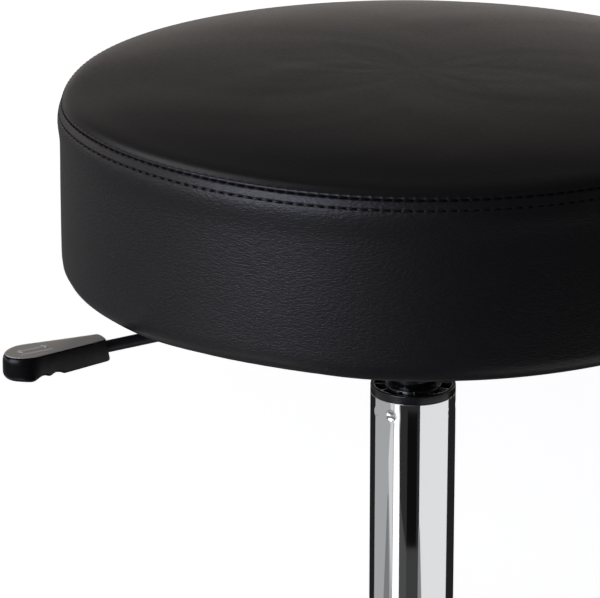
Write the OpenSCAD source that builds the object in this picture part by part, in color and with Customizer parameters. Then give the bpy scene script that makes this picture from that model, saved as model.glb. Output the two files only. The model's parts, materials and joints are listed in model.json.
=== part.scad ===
// Medical stool: a round padded seat on a gas lift, with a release lever under
// the seat, a five-legged base and twin-wheel casters.
// It stands on z = 0 with the lift down. The column is the Z axis, and the
// lever points along -X.

/* [Seat cushion] */
// Diameter of the seat at the straight part of its side
seat_d = 406.4; // [340:0.1:440]
// Height of the side band, from the underside to the seam
band_h = 102.9; // [70:0.1:120]
// Rise of the top panel above the seam
crown_h = 14.1; // [8:0.1:22]
// Fullness of the crown: higher keeps the middle flat for longer
crown_fullness = 2.8; // [2:0.1:4]
// How far the roll below the seam stands out from the side
roll_out = 1.3; // [0:0.1:3]
// Depth of the roll's widest line below the seam
roll_drop = 7; // [7:0.1:14]
// How far the seam lies inside the side
seam_in = 0; // [0:0.1:3]
// Rounding of the bottom edge
edge_round = 9; // [5:0.5:14]
// Thickness of the vinyl
vinyl_t = 1.2; // [0.8:0.1:2]
// Width of the band that is turned under the seat board
wrap_w = 34; // [25:1:45]
// Depth of the seam allowance folded down behind the band
allowance_h = 8; // [6:0.5:12]

/* [Seat board] */
// Thickness of the plywood seat board
board_t = 12; // [9:1:18]
// Thickness of the dust cover
dust_t = 0.7; // [0.4:0.1:1.2]
// How far the dust cover laps over the turned-under band
dust_lap = 12; // [8:1:16]
// Number of staples round the underside
staple_count = 32; // [16:2:40]

/* [Seat plate] */
// Side of the square seat plate
plate_w = 190; // [170:1:210]
// Thickness of the seat plate
plate_t = 3; // [2:0.5:5]
// Corner rounding of the seat plate
plate_corner_r = 14; // [8:1:20]
// Spacing of the four seat screws, along and across
screw_spacing = 140; // [130:1:150]
// Diameter of the seat screws
screw_d = 6; // [5:0.5:8]
// Length of a seat screw under its head
screw_len = 18; // [16:0.5:20]

/* [Lever cradle] */
// Length of the lever cradle
cradle_len = 150; // [140:1:160]
// Width of the lever cradle
cradle_w = 46; // [42:1:56]
// Depth of the lever cradle below the seat plate
cradle_h = 32; // [30:0.5:36]
// Thickness of the cradle's walls
cradle_wall = 2; // [1.5:0.5:3]
// Outer diameter of the taper socket
socket_d = 36; // [34:1:40]
// Length of the taper socket
socket_len = 42; // [38:1:44]

/* [Release lever] */
// Diameter of the lever rod
rod_d = 6.8; // [5:0.1:8]
// Distance of the lever's pivot from the cradle's end
pivot_inset = 15; // [12:0.5:18]
// Diameter of the pivot pin
pivot_d = 6; // [4:0.5:6]
// Length of the grip
grip_len = 63.5; // [50:0.5:80]
// Height of the grip
grip_h = 14; // [12:0.1:16]
// Width of the grip at its round outer end
grip_w = 23; // [18:0.5:28]
// Width of the grip at its inner end
grip_neck_w = 10.7; // [9.5:0.1:14]
// Gap between the seat's bottom edge and the grip
grip_gap = 11.9; // [7:0.1:30]

/* [Gas lift] */
// Outer diameter of the chromed tube
tube_d = 50; // [48:0.5:56]
// Length of the chromed tube
tube_len = 276; // [250:1:330]
// Wall of the chromed tube
tube_wall = 1.5; // [1:0.1:2]
// Outer diameter of the inner cylinder
cylinder_d = 28; // [26:0.5:30]
// Wall of the inner cylinder
cylinder_wall = 2; // [1.5:0.1:3]
// Travel of the seat from its lowest to its highest place
lift_travel = 150; // [100:1:150]
// Height of the guide bush's visible head
bush_head_h = 5; // [3:0.5:8]
// Depth of the guide bush inside the tube
bush_len = 100; // [60:1:110]
// Gap from the bush head to the taper socket with the lift down
lift_reveal = 9; // [6:0.5:20]
// Diameter of the piston rod
piston_rod_d = 10; // [9:0.5:12]
// Diameter of the release button
button_d = 8; // [7:0.5:9]

/* [Base] */
// Number of legs and casters
leg_count = 5; // [5:1:5]
// Diameter of the circle of caster stems
stem_circle_d = 604; // [520:1:640]
// Outer diameter of the hub
hub_d = 62; // [58:1:70]
// Height of the hub
hub_h = 52; // [44:1:60]
// Height of the hub's underside above the underside of the leg tips
hub_rise = 8; // [6:1:14]
// Width of a leg at the hub
leg_root_w = 34; // [28:1:35]
// Width of a leg at its tip
leg_tip_w = 26; // [22:1:28]
// Height of a leg at its tip
leg_tip_h = 24; // [22:1:28]
// Diameter of the socket eye at the tip
eye_d = 31; // [29:1:36]
// Wall of a leg, which is open underneath
leg_wall = 3; // [2:0.5:4]

/* [Casters] */
// Diameter of the wheels
wheel_d = 50; // [46:1:52]
// Width of one wheel
wheel_w = 17; // [14:0.5:18]
// Height of the leg tips' underside above the floor
caster_h = 58; // [58:1:66]
// Offset of the wheel axle from the swivel axis
caster_trail = 20; // [18:0.5:24]
// Diameter of the stem in the leg
stem_d = 11; // [10:0.5:11]
// Turn of each caster from pointing straight out along its leg
caster_turn = 0; // [-30:5:30]

/* [Hidden] */
leg_angle_first = 90;

// Clearances and overruns
fit_gap = 0.05;
run_gap = 0.05;
rest_gap = 0.3;
overrun = 1;
round_steps = 10;
curve_steps = 18;

// Casters
axle_z = wheel_d / 2;
wheel_axle_d = 6;
wheel_gap = 0.5;
wheel_edge_r = 3;
wheel_cap_t = 2.5;
wheel_hub_d = 14;
wheel_rim_t = 5;
wheel_web_t = 6;
hood_gap = 2;
hood_t = 2;
hood_body_t = 14;
hood_skirt = 4;
swivel_d = 8;
swivel_floor = 24;
collar_d = 16;
collar_t = 2;
stem_len = 20;
stem_r = stem_circle_d / 2;
hood_r = wheel_d / 2 + hood_gap + hood_t;
hood_w = hood_body_t + 2 * (wheel_gap + wheel_w);

// Legs and hub
tip_bottom = caster_h;
tip_top = tip_bottom + leg_tip_h;
hub_bottom = tip_bottom + hub_rise;
hub_top = hub_bottom + hub_h;
leg_root_top_drop = 5;
leg_slice_t = 0.5;
hub_chamfer = 2;
eye_chamfer = 2.5;

// Outer tube, its taper in the hub, and what it holds at its lower end
tube_drop = 4;
tube_taper_slope = 0.025;
tube_bottom = hub_bottom - tube_drop;
tube_top = tube_bottom + tube_len;
tube_r = tube_d / 2;
function tube_outer_r(z) = tube_r - max(0, hub_top - z) * tube_taper_slope;
function tube_inner_r(z) = tube_outer_r(z) - tube_wall;
bottom_plate_t = 3;
plate_hole_gap = 0.3;
journal_d = 8;
washer_d = 24;
bearing_washer_t = 2;
ball_d = 3.96;
ball_gap = 0.02;
ball_count = 12;
clip_t = 1.5;
clip_d = 15;
rod_tail = 2;
bump_d = 30;
bump_h = 16.7;
lower_washer_z = tube_bottom + bottom_plate_t;
ball_z = lower_washer_z + bearing_washer_t + ball_gap + ball_d / 2;
upper_washer_z = ball_z + ball_d / 2 + ball_gap;
bump_z = upper_washer_z + bearing_washer_t;
bump_top = bump_z + bump_h;

// Dimples punched through to hold the bush
dimple_d = 6;
dimple_depth = 0.6;
dimple_drop = 8.5;
dimple_count = 3;
dimple_angle = 210.3;
dimple_ball_r = (dimple_d * dimple_d / 4 + dimple_depth * dimple_depth) / (2 * dimple_depth);

// Guide bush
bush_top = tube_top + bush_head_h;
bush_rim_w = 2.2;
bush_collar_w = 2.4;
bush_recess_depth = 3;
bush_rib_t = 1.6;
bush_rib_drop = 0.8;
bush_rib_count = 12;

// Inner cylinder with its cone, valve and piston
cone_len = 48;
cone_slope = 0.025;
cone_show = 4;
socket_bottom = bush_top + lift_reveal;
cylinder_r = cylinder_d / 2;
cylinder_top = socket_bottom - cone_show + cone_len;
cylinder_bottom = bump_top + rest_gap;
cone_bottom = cylinder_top - cone_len;
function cone_r(z) = cylinder_r - max(0, z - cone_bottom) * cone_slope;
cylinder_bore_r = cylinder_r - cylinder_wall;
head_block_h = 34;
cylinder_bore_top = cylinder_top - head_block_h;
valve_h = 12;
valve_pin_d = 5;
valve_pin_h = 5;
button_show = 5.7;
button_len = 30;
button_top = cylinder_top + button_show;
cap_h = 14;
piston_h = 18;
piston_reserve = 8;
piston_groove_w = 3;
piston_groove_depth = 1.5;
piston_bottom = cylinder_bottom + cap_h + lift_travel + piston_reserve;

// Lever and cradle
rod_r = rod_d / 2;
lever_gap = 0.3;
lever_z = button_top + lever_gap + rod_r;
pivot_x = cradle_len / 2 - pivot_inset;
socket_top = socket_bottom + socket_len;
socket_stand = 29.5;
cradle_bottom = socket_bottom + socket_stand;
plate_bottom = cradle_bottom + cradle_h;
plate_top = plate_bottom + plate_t;
weld_w = 3;
cradle_flange_w = 9;
slot_side_gap = 1;
slot_rise = 2.2;
sleeve_d = 12;
sleeve_gap = 0.5;
pin_overhang = 3.5;
pin_head_d = 9;
pin_head_t = 1.5;
pin_clip_t = 0.8;
pin_clip_d = 11;
pin_clip_mouth_share = 0.7;
pad_d = 14;
rod_tail_x = 9;

// Seat stack
board_bottom = plate_top + dust_t;
board_top = board_bottom + board_t;
seat_bottom = board_bottom - vinyl_t;
seat_r = seat_d / 2;
seam_z = seat_bottom + band_h;
seam_r = seat_r - seam_in;
seat_top = seam_z + crown_h;
edge_in = 0.3;
edge_ease_h = 17;
roll_ease_h = 15;
crown_power = 1.45;
board_r = seat_r - edge_in - edge_round - vinyl_t - fit_gap;
wrap_r = seat_r - edge_in - wrap_w;
tee_flange_d = 20;
tee_flange_t = 1.2;
tee_barrel_len = 9;
tee_barrel_wall = 1;
screw_head_af = 10;
screw_head_h = 4;
screw_hole_gap = 0.5;
seat_washer_d = 14;
seat_washer_t = 1.2;
screw_tip_z = plate_bottom - seat_washer_t + screw_len;
staple_w = 10;
staple_wire = 0.7;
staple_leg = 6;

// Grip
edge_r_bottom = seat_r - edge_in - edge_round;
grip_start = edge_r_bottom + grip_gap;
grip_end = grip_start + grip_len;
grip_top_rise = 3.6;
grip_top = lever_z + rod_r + grip_top_rise;
grip_bottom = grip_top - grip_h;
grip_bore_len = 45;
grip_dip_r = 9;
grip_dip_depth = 1.8;
grip_dip_shares = [0.57, 0.7];
grip_tip_share = 0.79;
grip_side_inset = 0.02;
grip_tip_drop = 0.6;
inlay_t = 0.8;
inlay_rise = 0.1;
inlay_margin = 1.1;
inlay_len_share = 0.96;
inlay_foot_share = 0.8;

// Points along an arc of a circle, in order from one angle to another
function arc(cx, cy, r, from, to, steps = round_steps) = [
    for (i = [0 : steps]) let (a = from + (to - from) * i / steps) [cx + r * cos(a), cy + r * sin(a)]
];

// Points of a quadratic curve between two ends, bent towards a middle point
function bend(a, m, b, steps = round_steps) = [
    for (i = [1 : steps]) let (t = i / steps) (1 - t) * (1 - t) * a + 2 * t * (1 - t) * m + t * t * b
];

// Side of the seat from its underside to the seam, drawn in by t all round
function side_points(t) = let (
    edge_r = seat_r - edge_in,
    arc_z = seat_bottom + edge_round,
    straight_z = arc_z + edge_ease_h,
    roll_z = seam_z - roll_drop,
    roll_foot = roll_z - roll_ease_h
) concat(
    arc(edge_r - edge_round, arc_z, edge_round - t, -90, 0),
    bend([edge_r - t, arc_z], [seat_r - t, straight_z - edge_ease_h / 2], [seat_r - t, straight_z]),
    [[seat_r - t, roll_foot]],
    bend(
        [seat_r - t, roll_foot],
        [seat_r + roll_out - t, roll_z - roll_ease_h / 2],
        [seat_r + roll_out - t, roll_z]
    ),
    bend([seat_r + roll_out - t, roll_z], [seat_r + roll_out / 2 - t, seam_z - roll_drop / 2], [seam_r - t, seam_z])
);

// Crown of the seat from the seam to the middle, drawn in by t
function crown_points(t) = [
    for (i = [1 : curve_steps])
        let (
            a = 90 * i / curve_steps,
            x = pow(cos(a), 2 / crown_fullness),
            y = pow(1 - pow(x, crown_fullness), 1 / crown_power)
        )
        [i == curve_steps ? 0 : (seam_r - t) * x, seam_z + (crown_h - t) * y]
];

function leg_angle(i) = leg_angle_first + (i - 1) * 360 / leg_count;

module ring(r_out, r_in, z_from, z_to) {
    translate([0, 0, z_from])
    difference() {
        cylinder(r = r_out, h = z_to - z_from);
        translate([0, 0, -overrun])
        cylinder(r = r_in, h = z_to - z_from + 2 * overrun);
    }
}

module rounded_square(w, r) {
    square([w, w - 2 * r], center = true);
    square([w - 2 * r, w], center = true);
    for (x = [-1, 1], y = [-1, 1]) {
        translate([x * (w / 2 - r), y * (w / 2 - r)])
        circle(r = r);
    }
}

module at_screws() {
    for (x = [-1, 1], y = [-1, 1]) {
        translate([x * screw_spacing / 2, y * screw_spacing / 2, 0])
        children();
    }
}

module at_staples() {
    for (i = [0 : staple_count - 1]) {
        rotate([0, 0, (i + 0.5) * 360 / staple_count])
        translate([wrap_r + dust_lap / 2, 0, board_bottom - vinyl_t - dust_t])
        children();
    }
}

// The two legs of one staple, wider by a gap on each side where they are cut away
module staple_legs(gap = 0) {
    for (y = [-1, 1]) {
        translate([0, y * (staple_w - staple_wire) / 2, 0])
        translate([-staple_wire / 2 - gap, -staple_wire / 2 - gap, -gap])
        cube([staple_wire + 2 * gap, staple_wire + 2 * gap, staple_leg + 2 * gap]);
    }
}

// Top panel of the cushion, with its seam allowance folded down inside the band
module seat_top_cover() {
    allowance_r = seam_r - vinyl_t - fit_gap;
    inner = [for (p = crown_points(vinyl_t)) if (p[0] < allowance_r - vinyl_t) p];
    color("#1b1b1d")
    rotate_extrude()
    polygon(concat(
        [[seam_r, seam_z]],
        crown_points(0),
        [for (i = [len(inner) - 1 : -1 : 0]) inner[i]],
        [
            [allowance_r - vinyl_t, seam_z],
            [allowance_r - vinyl_t, seam_z - allowance_h],
            [allowance_r, seam_z - allowance_h],
            [allowance_r, seam_z]
        ]
    ));
}

// Side band of the cushion, turned under the seat board
module seat_side_band() {
    outer = side_points(0);
    inner = side_points(vinyl_t);
    color("#17171a")
    difference() {
        rotate_extrude()
        polygon(concat(
            [[wrap_r, seat_bottom]],
            outer,
            [for (i = [len(inner) - 1 : -1 : 0]) inner[i]],
            [[wrap_r, seat_bottom + vinyl_t]]
        ));
        at_staples()
        staple_legs(fit_gap);
    }
}

// Foam pad, filling the cover down to the board and round the board's edge
module seat_foam() {
    skin = vinyl_t + fit_gap;
    step_r = seam_r - 2 * skin - fit_gap;
    side = [for (p = side_points(skin)) if (p[1] < seam_z - allowance_h - fit_gap) p];
    crown = [for (p = crown_points(skin)) if (p[0] < step_r) p];
    color("#d8cfa8")
    difference() {
        rotate_extrude()
        polygon(concat(
            [[board_r + fit_gap, board_bottom]],
            side,
            [
                [seam_r - skin, seam_z - allowance_h - fit_gap],
                [step_r, seam_z - allowance_h - fit_gap],
                [step_r, seam_z]
            ],
            crown,
            [[0, board_top], [board_r + fit_gap, board_top]]
        ));
        at_screws()
        translate([0, 0, board_top - overrun])
        cylinder(d = tee_flange_d + 2 * fit_gap, h = tee_flange_t + fit_gap + overrun);
    }
}

module seat_board() {
    color("#c49a63")
    difference() {
        translate([0, 0, board_bottom])
        cylinder(r = board_r, h = board_t);
        at_screws()
        translate([0, 0, board_bottom - overrun])
        cylinder(d = screw_d + 2 * (tee_barrel_wall + fit_gap) + 2 * fit_gap, h = board_t + 2 * overrun);
        at_staples()
        staple_legs(fit_gap);
    }
}

module tee_nuts() {
    bore_r = screw_d / 2 + fit_gap;
    color("#b9bcc0")
    at_screws() {
        ring(tee_flange_d / 2, bore_r, board_top, board_top + tee_flange_t);
        ring(bore_r + tee_barrel_wall, bore_r, board_top - tee_barrel_len, board_top);
    }
}

// Fabric cover, lying against the board and lapped over the turned-under band
module dust_cover() {
    lap_r = wrap_r + dust_lap;
    color("#2a2a2c")
    difference() {
        rotate_extrude()
        polygon([
            [0, board_bottom - dust_t],
            [wrap_r - fit_gap - dust_t, board_bottom - dust_t],
            [wrap_r - fit_gap - dust_t, seat_bottom - dust_t],
            [lap_r, seat_bottom - dust_t],
            [lap_r, seat_bottom],
            [wrap_r - fit_gap, seat_bottom],
            [wrap_r - fit_gap, board_bottom],
            [0, board_bottom]
        ]);
        at_screws()
        translate([0, 0, board_bottom - dust_t - overrun])
        cylinder(d = screw_d + 2 * screw_hole_gap, h = dust_t + 2 * overrun);
        at_staples()
        staple_legs(fit_gap);
    }
}

module cover_staples() {
    color("#b0b3b6")
    at_staples() {
        staple_legs();
        translate([-staple_wire / 2, -staple_w / 2, -staple_wire])
        cube([staple_wire, staple_w, staple_wire]);
    }
}

module seat_plate() {
    color("#26272a")
    difference() {
        translate([0, 0, plate_bottom])
        linear_extrude(plate_t)
        rounded_square(plate_w, plate_corner_r);
        at_screws()
        translate([0, 0, plate_bottom - overrun])
        cylinder(d = screw_d + 2 * screw_hole_gap, h = plate_t + 2 * overrun);
    }
}

module plate_screws() {
    head_top = plate_bottom - seat_washer_t;
    color("#9a9da1")
    at_screws() {
        translate([0, 0, head_top - screw_head_h])
        cylinder(d = screw_head_af / cos(30), h = screw_head_h, $fn = 6);
        translate([0, 0, head_top - screw_head_h / 2])
        cylinder(d = screw_d, h = screw_tip_z - head_top + screw_head_h / 2);
    }
}

module plate_washers() {
    color("#b9bcc0")
    at_screws()
    ring(seat_washer_d / 2, screw_d / 2 + fit_gap, plate_bottom - seat_washer_t, plate_bottom);
}

// Channel welded under the plate; its slotted end wall is the lever's rest
module lever_cradle() {
    inner_w = cradle_w - 2 * cradle_wall;
    slot_bottom = lever_z - rod_r - rest_gap;
    slot_top = lever_z + rod_r + slot_rise;
    color("#26272a")
    difference() {
        union() {
            difference() {
                translate([-cradle_len / 2, -cradle_w / 2, cradle_bottom])
                cube([cradle_len, cradle_w, cradle_h]);
                translate([-cradle_len / 2 + cradle_wall, -inner_w / 2, cradle_bottom + cradle_wall])
                cube([cradle_len, inner_w, cradle_h]);
            }
            for (s = [-1, 1]) {
                translate([0, s * (cradle_w + cradle_flange_w) / 2, plate_bottom - cradle_wall / 2])
                cube([cradle_len, cradle_flange_w, cradle_wall], center = true);
            }
        }
        translate([0, 0, cradle_bottom - overrun])
        cylinder(d = socket_d + 2 * fit_gap, h = cradle_wall + 2 * overrun);
        translate([-cradle_len / 2 - overrun, -rod_r - slot_side_gap, slot_bottom])
        cube([cradle_wall + 2 * overrun, rod_d + 2 * slot_side_gap, slot_top - slot_bottom]);
        translate([-pivot_x, cradle_w / 2 + overrun, lever_z])
        rotate([90, 0, 0])
        cylinder(d = pivot_d + 2 * fit_gap, h = cradle_w + 2 * overrun);
    }
}

// Sleeve with a conical bore, welded into the cradle's floor
module taper_socket() {
    color("#2d2e31")
    difference() {
        union() {
            translate([0, 0, socket_bottom])
            cylinder(d = socket_d, h = socket_len);
            translate([0, 0, cradle_bottom - weld_w])
            cylinder(r1 = socket_d / 2, r2 = socket_d / 2 + weld_w, h = weld_w);
        }
        translate([0, 0, socket_bottom - overrun])
        cylinder(
            r1 = cone_r(socket_bottom - overrun) + fit_gap,
            r2 = cone_r(socket_top + overrun) + fit_gap,
            h = socket_len + 2 * overrun
        );
    }
}

module lever_pivot_pin() {
    pin_end = cradle_w / 2 + pin_overhang;
    groove_z = cradle_w / 2 + fit_gap;
    groove_r = pivot_d / 2 * pin_clip_mouth_share;
    color("#a7aaae")
    translate([-pivot_x, 0, lever_z])
    rotate([-90, 0, 0])
    difference() {
        union() {
            translate([0, 0, -cradle_w / 2])
            cylinder(d = pivot_d, h = pin_end + cradle_w / 2);
            translate([0, 0, -cradle_w / 2 - pin_head_t])
            cylinder(d = pin_head_d, h = pin_head_t);
        }
        ring(pivot_d / 2 + overrun, groove_r, groove_z, groove_z + pin_clip_t + 2 * fit_gap);
    }
}

// Open ring snapped into the groove at the end of the pivot pin
module pivot_clip() {
    hole_r = pivot_d / 2 * pin_clip_mouth_share + fit_gap;
    color("#6f7276")
    translate([-pivot_x, cradle_w / 2 + 2 * fit_gap, lever_z])
    rotate([-90, 0, 0])
    difference() {
        cylinder(d = pin_clip_d, h = pin_clip_t);
        translate([0, 0, -overrun])
        cylinder(r = hole_r, h = pin_clip_t + 2 * overrun);
        translate([-hole_r, 0, -overrun])
        cube([2 * hole_r, pin_clip_d, pin_clip_t + 2 * overrun]);
    }
}

// Rod with the sleeve that turns on the pivot pin and the pad over the button
module lever_rod() {
    sleeve_len = cradle_w - 2 * cradle_wall - 2 * sleeve_gap;
    rod_end = grip_start + grip_bore_len;
    color("#1d1d1f")
    difference() {
        union() {
            translate([-rod_end, 0, lever_z])
            rotate([0, 90, 0])
            cylinder(d = rod_d, h = rod_end + rod_tail_x);
            translate([-pivot_x, sleeve_len / 2, lever_z])
            rotate([90, 0, 0])
            cylinder(d = sleeve_d, h = sleeve_len);
            translate([0, 0, lever_z - rod_r])
            cylinder(d = pad_d, h = rod_r);
        }
        translate([-pivot_x, sleeve_len / 2 + overrun, lever_z])
        rotate([90, 0, 0])
        cylinder(r = pivot_d / 2 + run_gap, h = sleeve_len + 2 * overrun);
    }
}

// Plan of the grip: a round outer end tapering straight to the neck
module grip_plan() {
    end_r = grip_w / 2;
    neck_r = grip_neck_w / 2;
    side_r = end_r - grip_side_inset;
    end_x = grip_len - end_r;
    lean = asin((end_r - neck_r) / end_x);
    translate([end_x, 0])
    circle(r = end_r);
    polygon([
        [0, -neck_r],
        [end_x - side_r * sin(lean), -side_r * cos(lean)],
        [end_x - side_r * sin(lean), side_r * cos(lean)],
        [0, neck_r]
    ]);
}

// Plan of the inlay: a large and a small circle with their common tangents
module inlay_plan() {
    end_r = grip_w / 2 - inlay_margin;
    foot_r = grip_neck_w / 2 * inlay_foot_share;
    end_x = grip_len - grip_w / 2;
    foot_x = grip_len * (1 - inlay_len_share) + foot_r;
    lean = asin((end_r - foot_r) / (end_x - foot_x));
    translate([end_x, 0])
    circle(r = end_r);
    translate([foot_x, 0])
    circle(r = foot_r);
    polygon([
        [foot_x - foot_r * sin(lean), -foot_r * cos(lean)],
        [end_x - end_r * sin(lean), -end_r * cos(lean)],
        [end_x - end_r * sin(lean), end_r * cos(lean)],
        [foot_x - foot_r * sin(lean), foot_r * cos(lean)]
    ]);
}

// Side outline of the grip, with two finger dips below and a fuller tip
module grip_side() {
    difference() {
        union() {
            translate([0, grip_bottom])
            square([grip_len, grip_h]);
            translate([grip_len * grip_tip_share, grip_bottom - grip_tip_drop])
            square([grip_len * (1 - grip_tip_share), grip_h]);
        }
        for (share = grip_dip_shares) {
            translate([grip_len * share, grip_bottom - grip_dip_r + grip_dip_depth])
            circle(r = grip_dip_r);
        }
    }
}

module lever_grip() {
    full_h = grip_h + grip_tip_drop;
    color("#141416")
    translate([-grip_start, 0, 0])
    rotate([0, 0, 180])
    difference() {
        intersection() {
            translate([0, 0, grip_top - full_h])
            linear_extrude(full_h)
            grip_plan();
            translate([0, grip_w / 2 + overrun, 0])
            rotate([90, 0, 0])
            linear_extrude(grip_w + 2 * overrun)
            grip_side();
        }
        translate([0, 0, grip_top - inlay_t])
        linear_extrude(inlay_t + overrun)
        inlay_plan();
        translate([-overrun, 0, lever_z])
        rotate([0, 90, 0])
        cylinder(r = rod_r + fit_gap, h = grip_bore_len + fit_gap + overrun);
    }
}

module grip_inlay() {
    color("#8b8780")
    translate([-grip_start, 0, 0])
    rotate([0, 0, 180])
    translate([0, 0, grip_top - inlay_t])
    linear_extrude(inlay_t + inlay_rise)
    inlay_plan();
}

module inner_cylinder() {
    color("#101012")
    difference() {
        union() {
            translate([0, 0, cylinder_bottom])
            cylinder(r = cylinder_r, h = cone_bottom - cylinder_bottom);
            translate([0, 0, cone_bottom])
            cylinder(r1 = cylinder_r, r2 = cone_r(cylinder_top), h = cone_len);
        }
        translate([0, 0, cylinder_bottom - overrun])
        cylinder(r = cylinder_bore_r, h = cylinder_bore_top - cylinder_bottom + overrun);
        translate([0, 0, cylinder_bore_top - overrun])
        cylinder(r = button_d / 2 + run_gap, h = head_block_h + 2 * overrun);
    }
}

module valve_body() {
    color("#b08d45") {
        translate([0, 0, cylinder_bore_top - valve_h])
        cylinder(r = cylinder_bore_r - fit_gap, h = valve_h);
        translate([0, 0, cylinder_bore_top - valve_h / 2])
        cylinder(d = valve_pin_d, h = valve_h / 2 + valve_pin_h);
    }
}

module valve_button() {
    color("#c9ccd0")
    translate([0, 0, button_top - button_len])
    cylinder(d = button_d, h = button_len);
}

module cylinder_end_cap() {
    color("#3a3b3e")
    ring(
        cylinder_bore_r - fit_gap,
        piston_rod_d / 2 + run_gap,
        cylinder_bottom,
        cylinder_bottom + cap_h
    );
}

module piston() {
    outer_r = cylinder_bore_r - run_gap;
    color("#c2b280")
    difference() {
        ring(outer_r, piston_rod_d / 2 + fit_gap, piston_bottom, piston_bottom + piston_h);
        ring(
            outer_r + overrun,
            outer_r - piston_groove_depth,
            piston_bottom + (piston_h - piston_groove_w) / 2,
            piston_bottom + (piston_h + piston_groove_w) / 2
        );
    }
}

// Piston rod, stepped down to a journal that turns in the thrust bearing
module piston_rod() {
    journal_bottom = tube_bottom - clip_t - rod_tail;
    color("#c9ccd0")
    difference() {
        union() {
            translate([0, 0, journal_bottom])
            cylinder(d = journal_d, h = bump_z - journal_bottom);
            translate([0, 0, bump_z])
            cylinder(d = piston_rod_d, h = piston_bottom + piston_h - bump_z);
        }
        ring(
            journal_d / 2 + overrun,
            journal_d / 2 - clip_t / 2,
            tube_bottom - clip_t - 2 * fit_gap,
            tube_bottom
        );
    }
}

module bump_stop() {
    color("#202022")
    ring(bump_d / 2, piston_rod_d / 2 + fit_gap, bump_z, bump_top);
}

module bearing_upper_washer() {
    color("#b9bcc0")
    ring(washer_d / 2, journal_d / 2 + fit_gap, upper_washer_z, bump_z);
}

module bearing_balls() {
    ball_ring_r = (washer_d + journal_d) / 4;
    color("#d5d8dc")
    for (i = [0 : ball_count - 1]) {
        rotate([0, 0, i * 360 / ball_count])
        translate([ball_ring_r, 0, ball_z])
        sphere(d = ball_d);
    }
}

module bearing_lower_washer() {
    color("#b9bcc0")
    ring(
        washer_d / 2,
        journal_d / 2 + plate_hole_gap,
        lower_washer_z,
        lower_washer_z + bearing_washer_t
    );
}

module tube_bottom_plate() {
    color("#8f9296")
    difference() {
        translate([0, 0, tube_bottom])
        cylinder(
            r1 = tube_inner_r(tube_bottom) - fit_gap,
            r2 = tube_inner_r(tube_bottom + bottom_plate_t) - fit_gap,
            h = bottom_plate_t
        );
        translate([0, 0, tube_bottom - overrun])
        cylinder(d = journal_d + 2 * plate_hole_gap, h = bottom_plate_t + 2 * overrun);
    }
}

module retaining_clip() {
    hole_r = (journal_d - clip_t) / 2 + fit_gap;
    color("#6f7276")
    translate([0, 0, tube_bottom - clip_t - fit_gap])
    difference() {
        cylinder(d = clip_d, h = clip_t);
        translate([0, 0, -overrun])
        cylinder(r = hole_r, h = clip_t + 2 * overrun);
        translate([-hole_r, 0, -overrun])
        cube([2 * hole_r, clip_d, clip_t + 2 * overrun]);
    }
}

module outer_tube() {
    color("#d7dadd")
    difference() {
        rotate_extrude()
        polygon([
            [tube_inner_r(tube_bottom), tube_bottom],
            [tube_outer_r(tube_bottom), tube_bottom],
            [tube_r, hub_top],
            [tube_r, tube_top],
            [tube_r - tube_wall, tube_top],
            [tube_r - tube_wall, hub_top]
        ]);
        for (i = [0 : dimple_count - 1]) {
            rotate([0, 0, dimple_angle + i * 360 / dimple_count])
            translate([tube_r + dimple_ball_r - dimple_depth, 0, tube_top - dimple_drop])
            sphere(r = dimple_ball_r);
        }
    }
}

// Long plastic bush with a ribbed head that covers the tube's rim
module guide_bush() {
    bore_r = cylinder_r + run_gap;
    recess_in = bore_r + bush_collar_w;
    recess_out = tube_r - bush_rim_w;
    color("#121214") {
        difference() {
            union() {
                translate([0, 0, tube_top - bush_len])
                cylinder(r = tube_r - tube_wall - fit_gap, h = bush_len);
                translate([0, 0, tube_top])
                cylinder(r = tube_r, h = bush_head_h);
            }
            translate([0, 0, tube_top - bush_len - overrun])
            cylinder(r = bore_r, h = bush_len + bush_head_h + 2 * overrun);
            ring(recess_out, recess_in, bush_top - bush_recess_depth, bush_top + overrun);
        }
        for (i = [0 : bush_rib_count - 1]) {
            rotate([0, 0, i * 360 / bush_rib_count])
            translate([recess_in - bush_collar_w / 2, -bush_rib_t / 2, bush_top - bush_recess_depth])
            cube([
                recess_out - recess_in + (bush_collar_w + bush_rim_w) / 2,
                bush_rib_t,
                bush_recess_depth - bush_rib_drop
            ]);
        }
    }
}

module base_hub() {
    color("#d0d3d6")
    rotate_extrude()
    polygon([
        [tube_outer_r(hub_bottom) + fit_gap, hub_bottom],
        [hub_d / 2 - hub_chamfer, hub_bottom],
        [hub_d / 2, hub_bottom + hub_chamfer],
        [hub_d / 2, hub_top - hub_chamfer],
        [hub_d / 2 - hub_chamfer, hub_top],
        [tube_outer_r(hub_top) + fit_gap, hub_top]
    ]);
}

// Cross-section of a leg: square below, round on top
module leg_section(w, h) {
    intersection() {
        union() {
            translate([0, h - w / 2])
            circle(d = w, $fn = 32);
            translate([-w / 2, 0])
            square([w, h - w / 2]);
        }
        translate([-w / 2, 0])
        square([w, h]);
    }
}

module leg_slice(x, w, z_from, z_to) {
    translate([x, 0, z_from])
    rotate([90, 0, 90])
    linear_extrude(leg_slice_t)
    leg_section(w, z_to - z_from);
}

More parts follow.
